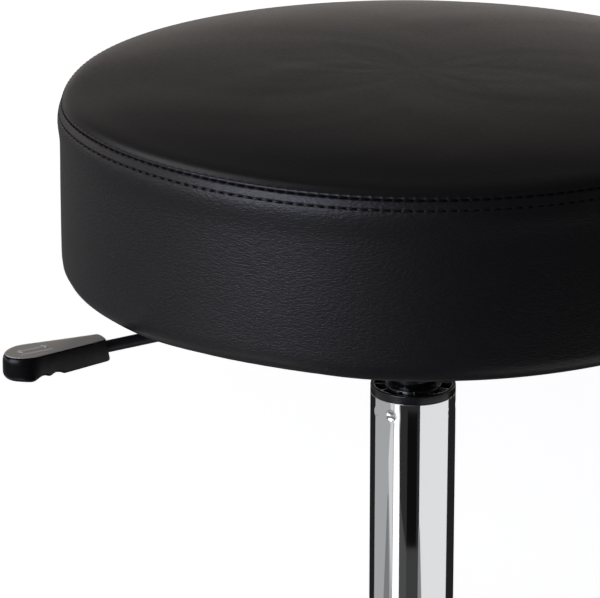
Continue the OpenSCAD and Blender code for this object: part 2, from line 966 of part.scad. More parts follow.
// One leg, open underneath, with a socket eye for the caster stem at its tip
module base_leg(i) {
    root_x = hub_d / 2 - hub_chamfer;
    cavity_start = hub_d / 2 + leg_wall;
    cavity_end = stem_r - eye_d / 2;
    root_top = hub_top - leg_root_top_drop;
    eye_r = eye_d / 2;
    color("#d0d3d6")
    rotate([0, 0, leg_angle(i)])
    difference() {
        union() {
            difference() {
                hull() {
                    leg_slice(root_x, leg_root_w, hub_bottom, root_top);
                    leg_slice(stem_r - leg_slice_t, leg_tip_w, tip_bottom, tip_top);
                }
                hull() {
                    leg_slice(
                        cavity_start,
                        leg_root_w - 2 * leg_wall,
                        hub_bottom - hub_rise - overrun,
                        root_top - leg_wall
                    );
                    leg_slice(
                        cavity_end,
                        leg_tip_w - 2 * leg_wall,
                        tip_bottom - overrun,
                        tip_top - leg_wall
                    );
                }
            }
            translate([stem_r, 0, tip_bottom])
            cylinder(r = eye_r, h = leg_tip_h - eye_chamfer);
            translate([stem_r, 0, tip_top - eye_chamfer])
            cylinder(r1 = eye_r, r2 = eye_r - eye_chamfer, h = eye_chamfer);
        }
        translate([0, 0, hub_bottom - overrun])
        cylinder(d = hub_d + 2 * fit_gap, h = hub_h + 2 * overrun);
        translate([stem_r, 0, tip_bottom - overrun])
        cylinder(d = stem_d + 2 * fit_gap, h = stem_len + fit_gap + overrun);
    }
}

// Places a piece of caster i, with the stem at the middle and the wheels behind it
module at_caster(i) {
    rotate([0, 0, leg_angle(i)])
    translate([stem_r, 0, 0])
    rotate([0, 0, caster_turn])
    children();
}

module caster_stems() {
    color("#b9bcc0")
    for (i = [1 : leg_count]) {
        at_caster(i) {
            translate([0, 0, swivel_floor + rest_gap])
            cylinder(d = swivel_d, h = tip_bottom - swivel_floor - rest_gap);
            translate([0, 0, tip_bottom - collar_t])
            cylinder(d = collar_d, h = collar_t);
            translate([0, 0, tip_bottom - collar_t / 2])
            cylinder(d = stem_d, h = stem_len + collar_t / 2);
        }
    }
}

// Hood over both wheels, with the swivel socket in its middle body
module caster_hood(i) {
    body_r = hood_r - hood_t;
    column_top = tip_bottom - collar_t - rest_gap;
    color("#151517")
    at_caster(i)
    difference() {
        union() {
            translate([0, hood_w / 2, 0])
            rotate([90, 0, 0])
            linear_extrude(hood_w)
            difference() {
                translate([caster_trail, axle_z])
                circle(r = hood_r);
                translate([caster_trail, axle_z])
                circle(r = body_r);
                translate([caster_trail - hood_r - overrun, axle_z + hood_skirt - 2 * hood_r])
                square([2 * (hood_r + overrun), 2 * hood_r]);
            }
            translate([0, hood_body_t / 2, 0])
            rotate([90, 0, 0])
            linear_extrude(hood_body_t) {
                translate([caster_trail, axle_z])
                circle(r = body_r - hood_t - hood_gap);
                intersection() {
                    translate([caster_trail, axle_z])
                    circle(r = hood_r - hood_t / 2);
                    translate([caster_trail - hood_r, axle_z + hood_skirt])
                    square([2 * hood_r, hood_r]);
                }
            }
            translate([0, 0, swivel_floor - hood_t])
            cylinder(d = hood_body_t, h = column_top - swivel_floor + hood_t);
        }
        translate([0, 0, swivel_floor])
        cylinder(r = swivel_d / 2 + run_gap, h = column_top - swivel_floor + overrun);
        translate([caster_trail, hood_body_t / 2 + overrun, axle_z])
        rotate([90, 0, 0])
        cylinder(d = wheel_axle_d + 2 * fit_gap, h = hood_body_t + 2 * overrun);
    }
}

module caster_axle(i) {
    half_len = hood_body_t / 2 + wheel_gap + wheel_w - wheel_cap_t - rest_gap;
    color("#9a9da1")
    at_caster(i)
    translate([caster_trail, half_len, axle_z])
    rotate([90, 0, 0])
    cylinder(d = wheel_axle_d, h = 2 * half_len);
}

// Section of a wheel from its inner face at 0 to its closed outer face
module wheel_profile() {
    bore_r = wheel_axle_d / 2 + run_gap;
    rim_r = wheel_d / 2 - wheel_rim_t;
    polygon(concat(
        [
            [0, wheel_w - wheel_cap_t],
            [bore_r, wheel_w - wheel_cap_t],
            [bore_r, 0],
            [wheel_hub_d / 2, 0],
            [wheel_hub_d / 2, wheel_w - wheel_web_t],
            [rim_r, wheel_w - wheel_web_t],
            [rim_r, 0]
        ],
        arc(wheel_d / 2 - wheel_edge_r, wheel_edge_r, wheel_edge_r, -90, 0),
        arc(wheel_d / 2 - wheel_edge_r, wheel_w - wheel_edge_r, wheel_edge_r, 0, 90),
        [[0, wheel_w]]
    ));
}

// side is -1 for the left wheel and 1 for the right wheel
module caster_wheel(i, side) {
    color("#1a1a1c")
    at_caster(i)
    translate([caster_trail, side * (hood_body_t / 2 + wheel_gap), axle_z])
    rotate([-90 * side, 0, 0])
    rotate_extrude()
    wheel_profile();
}

seat_top_cover();
seat_side_band();
seat_foam();
seat_board();
tee_nuts();
dust_cover();
cover_staples();
seat_plate();
plate_screws();
plate_washers();
lever_cradle();
taper_socket();
lever_pivot_pin();
pivot_clip();
lever_rod();
lever_grip();
grip_inlay();
inner_cylinder();
valve_body();
valve_button();
cylinder_end_cap();
piston();
piston_rod();
bump_stop();
bearing_upper_washer();
bearing_balls();
bearing_lower_washer();
tube_bottom_plate();
retaining_clip();
outer_tube();
guide_bush();
base_hub();
caster_stems();
for (i = [1 : leg_count]) {
    base_leg(i);
    caster_hood(i);
    caster_axle(i);
    caster_wheel(i, -1);
    caster_wheel(i, 1);
}
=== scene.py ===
"""Looks of a medical stool: its cushion, gas lift, lever, base and casters, built round the CAD frame."""

import json
import math

import bpy
import numpy as np
from bpy.props import FloatProperty, FloatVectorProperty, IntProperty, PointerProperty
from bpy.types import Operator, Panel, PropertyGroup
from mathutils import Matrix, Vector


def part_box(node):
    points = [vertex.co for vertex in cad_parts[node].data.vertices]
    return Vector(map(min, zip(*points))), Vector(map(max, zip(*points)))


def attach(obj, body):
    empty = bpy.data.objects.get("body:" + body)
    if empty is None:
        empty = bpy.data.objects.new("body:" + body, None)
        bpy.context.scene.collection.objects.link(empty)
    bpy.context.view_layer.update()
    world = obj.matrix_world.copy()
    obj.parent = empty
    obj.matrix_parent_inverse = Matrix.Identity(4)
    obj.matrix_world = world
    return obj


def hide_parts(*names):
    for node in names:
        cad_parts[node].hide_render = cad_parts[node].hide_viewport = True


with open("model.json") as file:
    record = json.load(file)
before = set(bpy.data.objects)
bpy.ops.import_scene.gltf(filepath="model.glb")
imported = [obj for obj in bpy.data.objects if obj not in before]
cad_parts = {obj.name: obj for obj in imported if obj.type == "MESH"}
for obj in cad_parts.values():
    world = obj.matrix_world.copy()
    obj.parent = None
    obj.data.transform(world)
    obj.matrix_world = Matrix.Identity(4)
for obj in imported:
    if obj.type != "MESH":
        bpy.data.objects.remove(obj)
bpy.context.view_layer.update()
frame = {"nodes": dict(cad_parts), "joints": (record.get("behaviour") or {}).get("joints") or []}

bl_info = {
    "name": "Medical stool looks",
    "version": (1, 0, 0),
    "blender": (4, 5, 0),
    "location": "3D View > Sidebar > Stool",
    "description": "Cushion, gas lift, lever, base and casters of a medical stool, built round its CAD frame",
    "category": "Object",
}

MM = 0.001
TURN = 2 * math.pi
# As near to the Z axis as a profile comes without being on it
AXIS = 0.001 * MM
# How much a gas lift's cones lose in radius for each unit of length
TAPER = 0.025
JOINTS = {joint["name"]: joint for joint in frame["joints"]}
CASTERS = range(1, 1 + sum(name.startswith("caster_swivel") for name in JOINTS))


def linear(hex_colour):
    """Linear red, green and blue of an sRGB hex colour."""
    parts = [int(hex_colour[i : i + 2], 16) / 255 for i in (1, 3, 5)]
    return tuple(c / 12.92 if c <= 0.04045 else ((c + 0.055) / 1.055) ** 2.4 for c in parts)


def opaque(tone, scale=1.0):
    """A colour for a node's socket, scaled and kept below 1."""
    return tuple(min(1.0, scale * c) for c in tone) + (1.0,)


def low(node):
    """Lower corner of a CAD node's box."""
    return np.array(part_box(node)[0])


def high(node):
    """Upper corner of a CAD node's box."""
    return np.array(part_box(node)[1])


def length(name, size_mm, description):
    """A length that the user may change, given in millimetres."""
    return FloatProperty(
        name=name, description=description, default=size_mm * MM, min=0, unit="LENGTH", precision=5
    )


def turned(name, degrees, description):
    """An angle that the user may change, given in degrees."""
    return FloatProperty(name=name, description=description, default=math.radians(degrees), subtype="ANGLE")


def share(name, value, description):
    """A share between 0 and 1 that the user may change."""
    return FloatProperty(
        name=name, description=description, default=value, min=0, max=1, subtype="FACTOR"
    )


def whole(name, value, least, description):
    """A whole number that the user may change, with the least that it may be."""
    return IntProperty(name=name, description=description, default=value, min=least)


def colour(name, hex_colour, description):
    """A colour that the user may change, given as an sRGB hex colour."""
    return FloatVectorProperty(
        name=name, description=description, default=linear(hex_colour), subtype="COLOR", min=0, max=1
    )


class CushionSettings(PropertyGroup):
    """Sizes and colours of the upholstery."""

    seam_in: length("Seam", 1.0, "How far the seam lies inside the side")
    roll_out: length("Roll", 1.15, "How far the roll below the seam stands out from the side")
    roll_drop: length("Roll drop", 10.5, "Depth of the roll's widest line below the seam")
    roll_ease: length("Roll ease", 12, "Height over which the roll runs out into the side")
    crown_drop: length("Crown drop", 0.6, "How far the crown has settled below the CAD cushion's top")
    rim_roll: length("Rim roll", 1.7, "How far the foam rolls over the seam at the front")
    rim_start: length("Rim start", 2.2, "Distance from the seam over which the rim rises")
    rim_reach: length("Rim reach", 13, "Distance from the seam at which the rim has run out into the crown")
    rim_angle: turned("Rim side", 217, "Angle from +X where the rim is fullest")
    edge_round: length("Edge rounding", 9, "Rounding of the bottom edge")
    edge_in: length("Edge draw-in", 0.3, "How far the bottom edge lies inside the side")
    edge_ease: length("Edge ease", 17, "Height over which the bottom edge runs out into the side")
    wrap_width: length("Turned-under width", 34, "Width of the band that is turned under the board")
    vinyl: length("Vinyl thickness", 1.2, "Thickness of the leathercloth")
    stitches: whole("Stitches", 220, 60, "Stitches in each row of thread")
    stitch_columns: whole("Columns per stitch", 6, 4, "Mesh columns for each stitch")
    row_gap: length("Row gap", 5.5, "Height of the lower row of thread below the seam")
    thread: length("Thread", 0.75, "Diameter of the thread")
    upper_stitch: length("Upper stitch", 4.5, "Length of a stitch in the seam")
    lower_stitch: length("Lower stitch", 3.4, "Length of a stitch in the lower row")
    crease: length("Crease", 0.85, "Depth of the crease at the seam")
    crease_width: length("Crease width", 0.65, "Half the width of the crease at the seam")
    groove: length("Groove", 0.5, "Depth of the groove that the lower row pulls in")
    waviness: length("Waviness", 0.35, "How far the cover wanders in and out over the foam")
    tuck: length("Tuck", 2.0, "How far the bottom edge is drawn up where it was stapled tightest")
    sag: length("Sag", 2.0, "How far the seam drops where the top panel was stretched most")
    pleat: length("Pleats", 0.9, "Height of the pleats where the band is gathered under the board")
    pleats: whole("Pleats", 96, 12, "Number of pleats under the board")
    scallops: whole("Scallops", 32, 8, "Number of staples that pull the dust cover into scallops")
    cloth: length("Dust cover's cloth", 0.5, "Thickness of the dust cover")
    grain: length("Grain", 2.3, "Width of one pebble of the leathercloth's grain")
    side_grain: length("Side grain", 0.16, "Depth of the grain on the side")
    top_grain: length("Top grain", 0.04, "Depth of the grain on the tightly stretched top")
    cover_colour: colour("Leathercloth", "#121113", "Colour of the leathercloth")
    thread_colour: colour("Thread colour", "#030304", "Colour of the thread")
    lining_colour: colour("Dust cover", "#1d1d1f", "Colour of the cloth under the seat")


class ColumnSettings(PropertyGroup):
    """Sizes and colours of the gas lift."""

    tube_wall: length("Tube wall", 1.5, "Wall of the chromed tube")
    dimple: length("Dimple", 6, "Diameter of the dimples that hold the bush")
    dimple_depth: length("Dimple depth", 0.6, "Depth of the dimples")
    dimple_drop: length("Dimple drop", 8.5, "Distance of the dimples from the tube's rim")
    dimple_angle: turned("First dimple", 204.8, "Angle of the first dimple from +X")
    dimples: whole("Dimples", 3, 0, "Number of dimples")
    dimple_draw: length("Dimple draw", 0.1, "How far the tube is drawn in round a dimple")
    mark_depth: length("Mark depth", 0.12, "Depth of the faint mark that the punch leaves beside a dimple")
    mark_angle: turned("Mark", 26.7, "Angle from a dimple to the mark beside it")
    rim_round: length("Rim rounding", 0.5, "Rounding of the tube's and the bush's rims")
    bush_bore: length("Bush bore", 28.1, "Diameter of the bush's bore")
    bush_fit: length("Bush sleeve", 1.55, "How far the bush's sleeve lies inside its head's side")
    bush_rim: length("Bush rim", 2.2, "Width of the bush's outer rim")
    bush_collar: length("Bush collar", 2.4, "Width of the bush's inner collar")
    bush_recess: length("Bush recess", 3, "Depth of the pockets in the bush's head")
    bush_ribs: whole("Bush ribs", 12, 3, "Number of ribs in the bush's head")
    bush_rib: length("Rib", 1.6, "Width of a rib in the bush's head")
    rib_drop: length("Rib drop", 0.5, "Depth of the ribs' tops below the bush's head")
    cone: length("Cone", 48, "Length of the inner cylinder's cone")
    cylinder_bore: length("Cylinder bore", 24, "Diameter of the inner cylinder's bore")
    button_bore: length("Button bore", 8.1, "Diameter of the hole for the release button")
    button_depth: length("Button depth", 30, "Length of the hole for the release button")
    chrome_colour: colour("Chrome", "#e4e5e7", "Colour of the chrome plating")
    bush_colour: colour("Bush", "#151517", "Colour of the bush")
    lacquer_colour: colour("Lacquer", "#0c0c0d", "Colour of the inner cylinder's lacquer")


class LeverSettings(PropertyGroup):
    """Sizes and colours of the release lever."""

    neck_width: length("Neck", 10.7, "Width of the grip at its inner end")
    neck_round: length("Neck rounding", 1.6, "Rounding of the grip's corners at its inner end")
    grip_round: length("Grip rounding", 1.8, "Rounding of the grip's edges")
    grip_edge: share("Upper edge", 0.35, "Rounding of the grip's upper edge as a share of the lower edge's")
    tip_round: length("Tip rounding", 4.7, "Rounding of the tip's lower edge")
    tip_bulge: length("Tip bulge", 1.8, "How far the tip's side bulges out below its upper edge")
    tip_bulge_height: length("Tip bulge height", 5, "Height over which the tip's side bulges out")
    tip_stretch: FloatProperty(
        name="Tip stretch", description="Length of the tip's half ellipse as a share of its half width",
        default=1.3, min=1
    )
    neck_setback: length("Neck setback", 2.4, "How far the top of the grip's inner end stands back")
    setback_reach: length("Setback reach", 10, "Length of the grip over which the setback runs out")
    body_height: length("Grip height", 14, "Height of the grip between its finger dips and its top")
    tip_share: share("Tip", 0.8, "Where the fuller tip begins, as a share of the grip's length")
    tip_ease_share: share("Tip ease", 0.05, "Length of the tip's swelling, as a share of the grip's length")
    dip_first_share: share("First dip", 0.57, "Place of the first finger dip along the grip")
    dip_second_share: share("Second dip", 0.71, "Place of the second finger dip along the grip")
    dip_width_share: share("Dip width", 0.088, "Half width of a finger dip as a share of the grip's length")
    dip_depth: length("Dip depth", 2.0, "Depth of the finger dips")
    foil_rise: length("Foil rise", 0.12, "How far the foil stands above the grip")
    foil_sunk: length("Foil sunk", 0.5, "How far the foil's underside lies below the grip's top")
    foil_margin: length("Foil margin", 0.5, "Width of the black edge round the foil on top of the grip")
    foil_tip_margin: length("Foil tip margin", 0.8, "What the black edge round the foil gains at the tip")
    foil_ridge: length("Foil ridge", 0.7, "How far the foil's edges drop from its ridge at the grip's neck")
    arrow_reach: length("Arrow", 9.5, "Half the length of the printed double arrow")
    arrow_head: length("Arrow head", 2.6, "Length and half width of an arrow head")
    arrow_shaft: length("Arrow shaft", 0.55, "Half the width of the arrow's shaft and of the bar")
    arrow_side: length("Arrow side", 1.8, "Distance of the arrow from the grip's middle line")
    bar_side: length("Bar side", 3.6, "Distance of the bar from the grip's middle line")
    rod: length("Rod", 6.8, "Diameter of the lever rod")
    rod_end: length("Rod end", 1.2, "Rounding of the rod's end")
    sleeve: length("Sleeve", 12, "Diameter of the sleeve that turns on the pivot pin")
    sleeve_bore: length("Sleeve bore", 6.1, "Diameter of the sleeve's bore")
    pad: length("Press pad", 14, "Diameter of the pad that presses the release button")
    rod_colour: colour("Rod", "#262528", "Colour of the lever rod's paint")
    grip_colour: colour("Grip", "#0a0a0c", "Colour of the grip")
    foil_colour: colour("Foil", "#f0ede4", "Colour of the metallic foil on the grip")
    mark_colour: colour("Arrows", "#f2f2f0", "Colour of the arrows on the foil")


class SeatPlateSettings(PropertyGroup):
    """Sizes and colours of the plate under the seat and what is fixed to it."""

    plate_corner: length("Plate corner", 14, "Radius of the seat plate's corners")
    plate_edge: length("Plate edge", 0.5, "Rounding of the seat plate's edges")
    screw: length("Screw", 6, "Diameter of a screw")
    screw_point: length("Screw point", 0.6, "Chamfer of a screw's point")
    screw_head: length("Screw head", 4, "Height of a screw's head")
    screw_across: length("Across corners", 11.54, "Width of a screw's hexagon head across its corners")
    washer: length("Washer", 14, "Diameter of a washer")
    washer_hole: length("Washer hole", 6.2, "Diameter of a washer's hole")
    socket: length("Taper socket", 36, "Diameter of the taper socket")
    socket_bore: length("Socket bore", 28.2, "Diameter of the taper socket's bore at its lower end")
    socket_lean: length("Socket lean", 0.9, "How far the bore's wall leans in up to its upper end")
    weld: length("Weld", 3, "Leg of the weld round the taper socket")
    steel_colour: colour("Powder coat", "#1b1b1d", "Colour of the powder coat on the seat plate")


class BaseSettings(PropertyGroup):
    """Sizes and colours of the base and its casters."""

    hub_round: length("Hub rounding", 2, "Rounding of the hub's edges")
    hub_bore: length("Hub bore", 47.5, "Diameter of the hub's bore at its lower end")
    hub_lean: length("Hub lean", 1.25, "How far the bore's wall leans out up to its upper end")
    leg_wall: length("Leg wall", 3, "Wall of a leg, which is open underneath")
    leg_root_width: length("Leg root", 34, "Width of a leg at the hub")
    leg_tip_width: length("Leg tip", 26, "Width of a leg at its tip")
    leg_tip_height: length("Tip height", 24, "Height of a leg at its tip")
    leg_top_drop: length("Leg top drop", 5, "Distance of a leg's top edge from the hub's upper end")
    leg_root_in: length("Leg root in", 2, "How far a leg reaches into the hub's and the eye's side")
    eye: length("Eye", 31, "Diameter of the eye that holds the caster's stem")
    eye_chamfer: length("Eye chamfer", 2.5, "Chamfer of the eye's upper edge")
    stem_hole: length("Stem hole", 11.2, "Diameter of the hole for a caster's stem")
    stem_depth: length("Stem depth", 20, "Depth of the hole for a caster's stem")
    hood_wall: length("Hood wall", 2, "Wall of a caster's hood")
    hood_body: length("Hood body", 14, "Thickness of the body between the wheels")
    hood_skirt: length("Hood skirt", 4, "Height of the hood's lower edge above the axle")
    swivel: length("Swivel column", 14, "Diameter of the hood's swivel column")
    swivel_low: length("Swivel foot", 22, "Height of the swivel column's foot above the floor")
    swivel_hole: length("Swivel hole", 8.6, "Diameter of the recess on top of the swivel column")
    wheel_width: length("Wheel", 17, "Width of a wheel")
    wheel_rim: length("Wheel rim", 5, "Width of the rim on a wheel's outer face")
    wheel_cap: length("Wheel cap", 23, "Diameter of the low cap on a wheel's outer face")
    wheel_bore: length("Wheel bore", 6.1, "Diameter of a wheel's bore")
    wheel_boss: length("Wheel boss", 14, "Diameter of the boss inside a wheel")
    wheel_web: length("Wheel web", 6, "Thickness of a wheel's outer face")
    wheel_round: length("Tread rounding", 3, "Rounding of the wheels' edges")
    wheel_gap: length("Wheel gap", 0.5, "Gap between a wheel and the hood's body")
    wheel_dish: length("Wheel dish", 1.2, "Depth of the dished ring on a wheel's outer face")
    plastic_colour: colour("Hood", "#131315", "Colour of the casters' hoods")
    tread_colour: colour("Wheels", "#19191b", "Colour of the wheels")
    zinc_colour: colour("Zinc", "#b4b7bb", "Colour of the zinc-plated parts")


class StudioSettings(PropertyGroup):
    """Camera, lamps and floor."""

    azimuth: turned("Camera azimuth", -32.7, "Turn of the camera round the column")
    pitch: turned("Camera pitch", 19.19, "How far the camera looks down")
    roll: turned("Camera roll", -0.05, "Roll of the camera")
    sensor: FloatProperty(name="Sensor", description="Width of the camera's sensor in mm", default=36)
    picture_width: whole("Picture width", 600, 1, "Width of the picture in pixels")
    picture_height: whole("Picture height", 598, 1, "Height of the picture in pixels")
    focal_pixels: FloatProperty(name="Focal length", description="Focal length in pixels", default=3871)
    aim_x: FloatProperty(name="Aim across", description="Pixel column of the aimed point", default=415.8)
    aim_y: FloatProperty(name="Aim down", description="Pixel row of the aimed point", default=100.7)
    aim_height: length("Aim height", 514, "Height of the aimed point on the column's axis")
    distance: length("Distance", 2205, "Distance of the aimed point from the camera, along the view")
    floor_size: length("Floor", 14000, "Side of the floor")
    floor_colour: colour("Floor", "#eef0f1", "Colour of the floor")
    lamp_target: length("Lamp target", 400, "Height of the point that the softboxes face")
    card_radius: length("Cards", 400, "Distance of the reflector cards from the column")
    card_height: length("Card height", 208, "Height of the reflector cards")
    card_gap: length("Card gap", 1.5, "Distance between reflector cards that stand behind one another")


GROUPS = {
    "stool_cushion": CushionSettings,
    "stool_column": ColumnSettings,
    "stool_lever": LeverSettings,
    "stool_seat_plate": SeatPlateSettings,
    "stool_base": BaseSettings,
    "stool_studio": StudioSettings,
}


def soft_step(value):
    """0 below 0 and 1 above 1, with a smooth step between them."""
    value = np.clip(value, 0, 1)
    return value * value * (3 - 2 * value)


def even_angles(count):
    """Angles of a full turn in a count of even steps."""
    return np.arange(count) * TURN / count


def around(radius, angle, height):
    """Points at a radius, an angle round the Z axis and a height, each a number or an array."""
    return np.stack(np.broadcast_arrays(radius * np.cos(angle), radius * np.sin(angle), height), -1)


def circle(radius, height, count):
    """Level ring: the radius times the cosine and sine of evenly spaced angles."""
    return around(radius, even_angles(count), height)


def run_length(points):
    """Length along a polyline up to each of its points."""
    return np.concatenate([[0], np.cumsum(np.linalg.norm(np.diff(points, axis=0), axis=1))])


def sampled(points, places):
    """Points of a polyline at given lengths along it."""
    along = run_length(points)
    return np.stack([np.interp(places, along, points[:, k]) for k in range(points.shape[1])], 1)


def inset_by(outline, inset):
    """A closed outline that runs anticlockwise, drawn inwards by an inset at each point, square to it."""
    ahead = np.roll(outline, -1, 0) - np.roll(outline, 1, 0)
    outward = np.stack([ahead[:, 1], -ahead[:, 0]], 1) / np.linalg.norm(ahead, axis=1, keepdims=True)
    return outline - np.reshape(inset, (-1, 1)) * outward


def eased(corners, cut, steps=5, closed=False):
    """Polyline with each corner replaced by a quadratic curve that starts and ends a cut's length from it,
    and no further than 0.45 of the way to the next corner."""
    corners = np.asarray(corners, float)
    cut = np.broadcast_to(np.asarray(cut, float), len(corners))[:, None]
    back, forth = np.roll(corners, 1, 0) - corners, np.roll(corners, -1, 0) - corners
    if not closed:
        back[0] = forth[-1] = 0
        cut = np.concatenate([[[0]], cut[1:-1], [[0]]])
    start, end = (
        corners + way * np.minimum(cut / np.maximum(np.linalg.norm(way, axis=1, keepdims=True), 1e-9), 0.45)
        for way in (back, forth)
    )
    t = np.linspace(0, 1, steps + 1)[None, :, None]
    curve = (1 - t) ** 2 * start[:, None] + 2 * t * (1 - t) * corners[:, None] + t**2 * end[:, None]
    points = curve.reshape(-1, corners.shape[1])
    apart = np.linalg.norm(np.diff(points, axis=0), axis=1) > 1e-7
    return points[np.concatenate([[True], apart])]


def smooth_path(keys):
    """Fine points of a smooth path through the keys: cubic pieces over the chord length, whose slope at a key
    is the mean slope of its two chords."""
    chord = run_length(keys)
    slope = np.gradient(keys, chord, axis=0)
    fine = np.linspace(0, chord[-1], 40 * len(keys))
    i = np.clip(np.searchsorted(chord, fine, side="right") - 1, 0, len(keys) - 2)
    step = (chord[i + 1] - chord[i])[:, None]
    u = (fine - chord[i])[:, None] / step
    return (
        (2 * u**3 - 3 * u**2 + 1) * keys[i]
        + (u**3 - 2 * u**2 + u) * step * slope[i]
        + (3 * u**2 - 2 * u**3) * keys[i + 1]
        + (u**3 - u**2) * step * slope[i + 1]
    )


def graded(total, centres, fine, coarse, reach, count):
    """Places from 0 to a total, close together near the centres: the running sum of a density that falls from
    1/fine to 1/coarse over the reach is cut into equal steps."""
    spot = np.linspace(0, total, 4000)
    near = sum(np.exp(-(((spot - centre) / reach) ** 2)) for centre in centres)
    density = 1 / coarse + np.minimum(near, 1) / fine
    running = np.concatenate([[0], np.cumsum((density[1:] + density[:-1]) / 2)])
    return np.interp(np.linspace(0, running[-1], count), running, spot)


def bridge(a, count_a, b, count_b):
    """Faces between ring a and the next ring b, each given by its first point and its count. Equal rings are
    joined by quads, a ring of one point by triangles, and a ring with a whole multiple of the other's points
    by fans."""
    coarse = np.arange(min(count_a, count_b) if min(count_a, count_b) > 1 else max(count_a, count_b))[:, None]
    ring_a = a + (coarse + [0, 1]) % count_a
    ring_b = b + (coarse + [1, 0]) % count_b
    if 1 < count_a < count_b:
        step = count_b // count_a
        ring_b = b + (coarse * step + np.arange(step, -1, -1)) % count_b
    if 1 < count_b < count_a:
        step = count_a // count_b
        ring_a = a + (coarse * step + np.arange(step + 1)) % count_a
    if count_a == 1:
        ring_a = ring_a[:, :1]
    if count_b == 1:
        ring_b = ring_b[:, :1]
    return np.hstack([ring_a, ring_b])


def skin(rings, closed=False):
    """Closed shell over a stack of rings, as its points and its groups of faces. The first and last rings are
    poles of one point, or the last ring is joined to the first where closed is set, or flat end faces close
    the stack."""
    counts = [len(ring) for ring in rings]
    starts = np.concatenate([[0], np.cumsum(counts)[:-1]])
    pairs = list(zip(starts[:-1], counts[:-1], starts[1:], counts[1:]))
    if closed:
        pairs.append((starts[-1], counts[-1], starts[0], counts[0]))
    faces = [bridge(*pair) for pair in pairs]
    if not closed and counts[0] > 1:
        faces.append(np.arange(counts[0])[None, ::-1] + starts[0])
    if not closed and counts[-1] > 1:
        faces.append(np.arange(counts[-1])[None] + starts[-1])
    return outward((np.concatenate(rings), faces))


def outward(shell):
    """A closed shell with its faces turned outwards, which they are when the volume inside it, a sixth of the
    sum of the box products of its triangles' corners, is above zero."""
    points, faces = shell
    volume = 0.0
    for group in faces:
        first = points[group[:, 0]]
        for second in range(1, group.shape[1] - 1):
            cross = np.cross(points[group[:, second]], points[group[:, second + 1]])
            volume += float((first * cross).sum()) / 6
    return points, [group[:, ::-1] for group in faces] if volume < 0 else faces


def lathe(profile, count, closed=False):
    """Shell of a profile of (radius, height) points turned round Z. A point on the axis is a pole."""
    rings = [circle(r, z, count) if r > 0 else np.array([[0.0, 0.0, z]]) for r, z in profile]
    return skin(rings, closed)


def slab(outline, levels):
    """Shell of a level outline with rounded edges: each level is an inset, measured square to the outline,
    and a height or a function that gives the heights of its points."""
    rings = []
    for inset, heights in levels:
        flat = inset_by(outline, inset)
        level = heights(flat) if callable(heights) else np.full(len(flat), heights)
        rings.append(np.column_stack([flat, level]))
    return skin(rings)


def moved(shell, matrix):
    """A shell carried by a 4 x 4 matrix."""
    points, faces = shell
    matrix = np.asarray(matrix)
    return points @ matrix[:3, :3].T + matrix[:3, 3], faces


def shifted(shell, offset):
    """A shell moved by an offset."""
    return shell[0] + np.asarray(offset), shell[1]


def along_x(shell):
    """A shell turned round Z carried over so that its axis lies along -X."""
    points, faces = shell
    return points[:, [2, 1, 0]] * [-1, 1, 1], faces


def across(shell):
    """A shell turned round Z carried over so that its axis lies along +Y."""
    return outward((shell[0][:, [0, 2, 1]], shell[1]))


def placed(name, data):
    """A new object in the scene with a mesh, lamp or camera as its data."""
    thing = bpy.data.objects.new(name, data)
    bpy.context.scene.collection.objects.link(thing)
    return thing


def piece(name, shells, material, body, nodes=(), sharp=32):
    """One object from closed shells. It rides on a body, stands for CAD nodes and takes a material. Edges
    sharper than an angle in degrees stay sharp."""
    starts = np.concatenate([[0], np.cumsum([len(points) for points, _ in shells])[:-1]])
    faces = [
        face
        for start, (_, groups) in zip(starts, shells)
        for group in groups
        for face in (group + start).tolist()
    ]
    mesh = bpy.data.meshes.new(name)
    mesh.from_pydata(np.concatenate([points for points, _ in shells]), [], faces)
    mesh.materials.append(material)
    mesh.shade_smooth()
    mesh.set_sharp_from_angle(angle=math.radians(sharp))
    mesh.update()
    thing = placed(name, mesh)
    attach(thing, body)
    if nodes:
        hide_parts(*nodes)
    return thing


def dress(material, *nodes):
    """Gives CAD nodes a material. Their smooth faces keep the normals that they came with."""
    for node in nodes:
        materials = frame["nodes"][node].data.materials
        materials.clear()
        materials.append(material)


def connect(tree, node, inputs):
    """Sets a node's inputs, by a socket's name or number, each to a value or to the socket linked to it."""
    for name, value in inputs.items():
        if isinstance(value, bpy.types.NodeSocket):
            tree.links.new(value, node.inputs[name])
        else:
            node.inputs[name].default_value = value


def add(tree, kind, inputs=None, **settings):
    """Adds a node with its settings and its inputs."""
    node = tree.nodes.new(kind)
    for name, value in settings.items():
        setattr(node, name, value)
    connect(tree, node, inputs or {})
    return node


def finish_of(name, values):
    """A material whose Principled shader gets the values, with its tree and that shader."""
    material = bpy.data.materials.new(name)
    material.use_nodes = True
    shader = material.node_tree.nodes["Principled BSDF"]
    connect(material.node_tree, shader, values)
    return material, material.node_tree, shader


def bare_material(name):
    """A material with no nodes yet, and its tree."""
    material = bpy.data.materials.new(name)
    material.use_nodes = True
    material.node_tree.nodes.clear()
    return material, material.node_tree


def place_on(tree, scale=(1, 1, 1)):
    """The object's own coordinates, stretched along its axes."""
    spot = add(tree, "ShaderNodeTexCoord").outputs["Object"]
    return add(tree, "ShaderNodeMapping", {"Vector": spot, "Scale": scale}).outputs["Vector"]


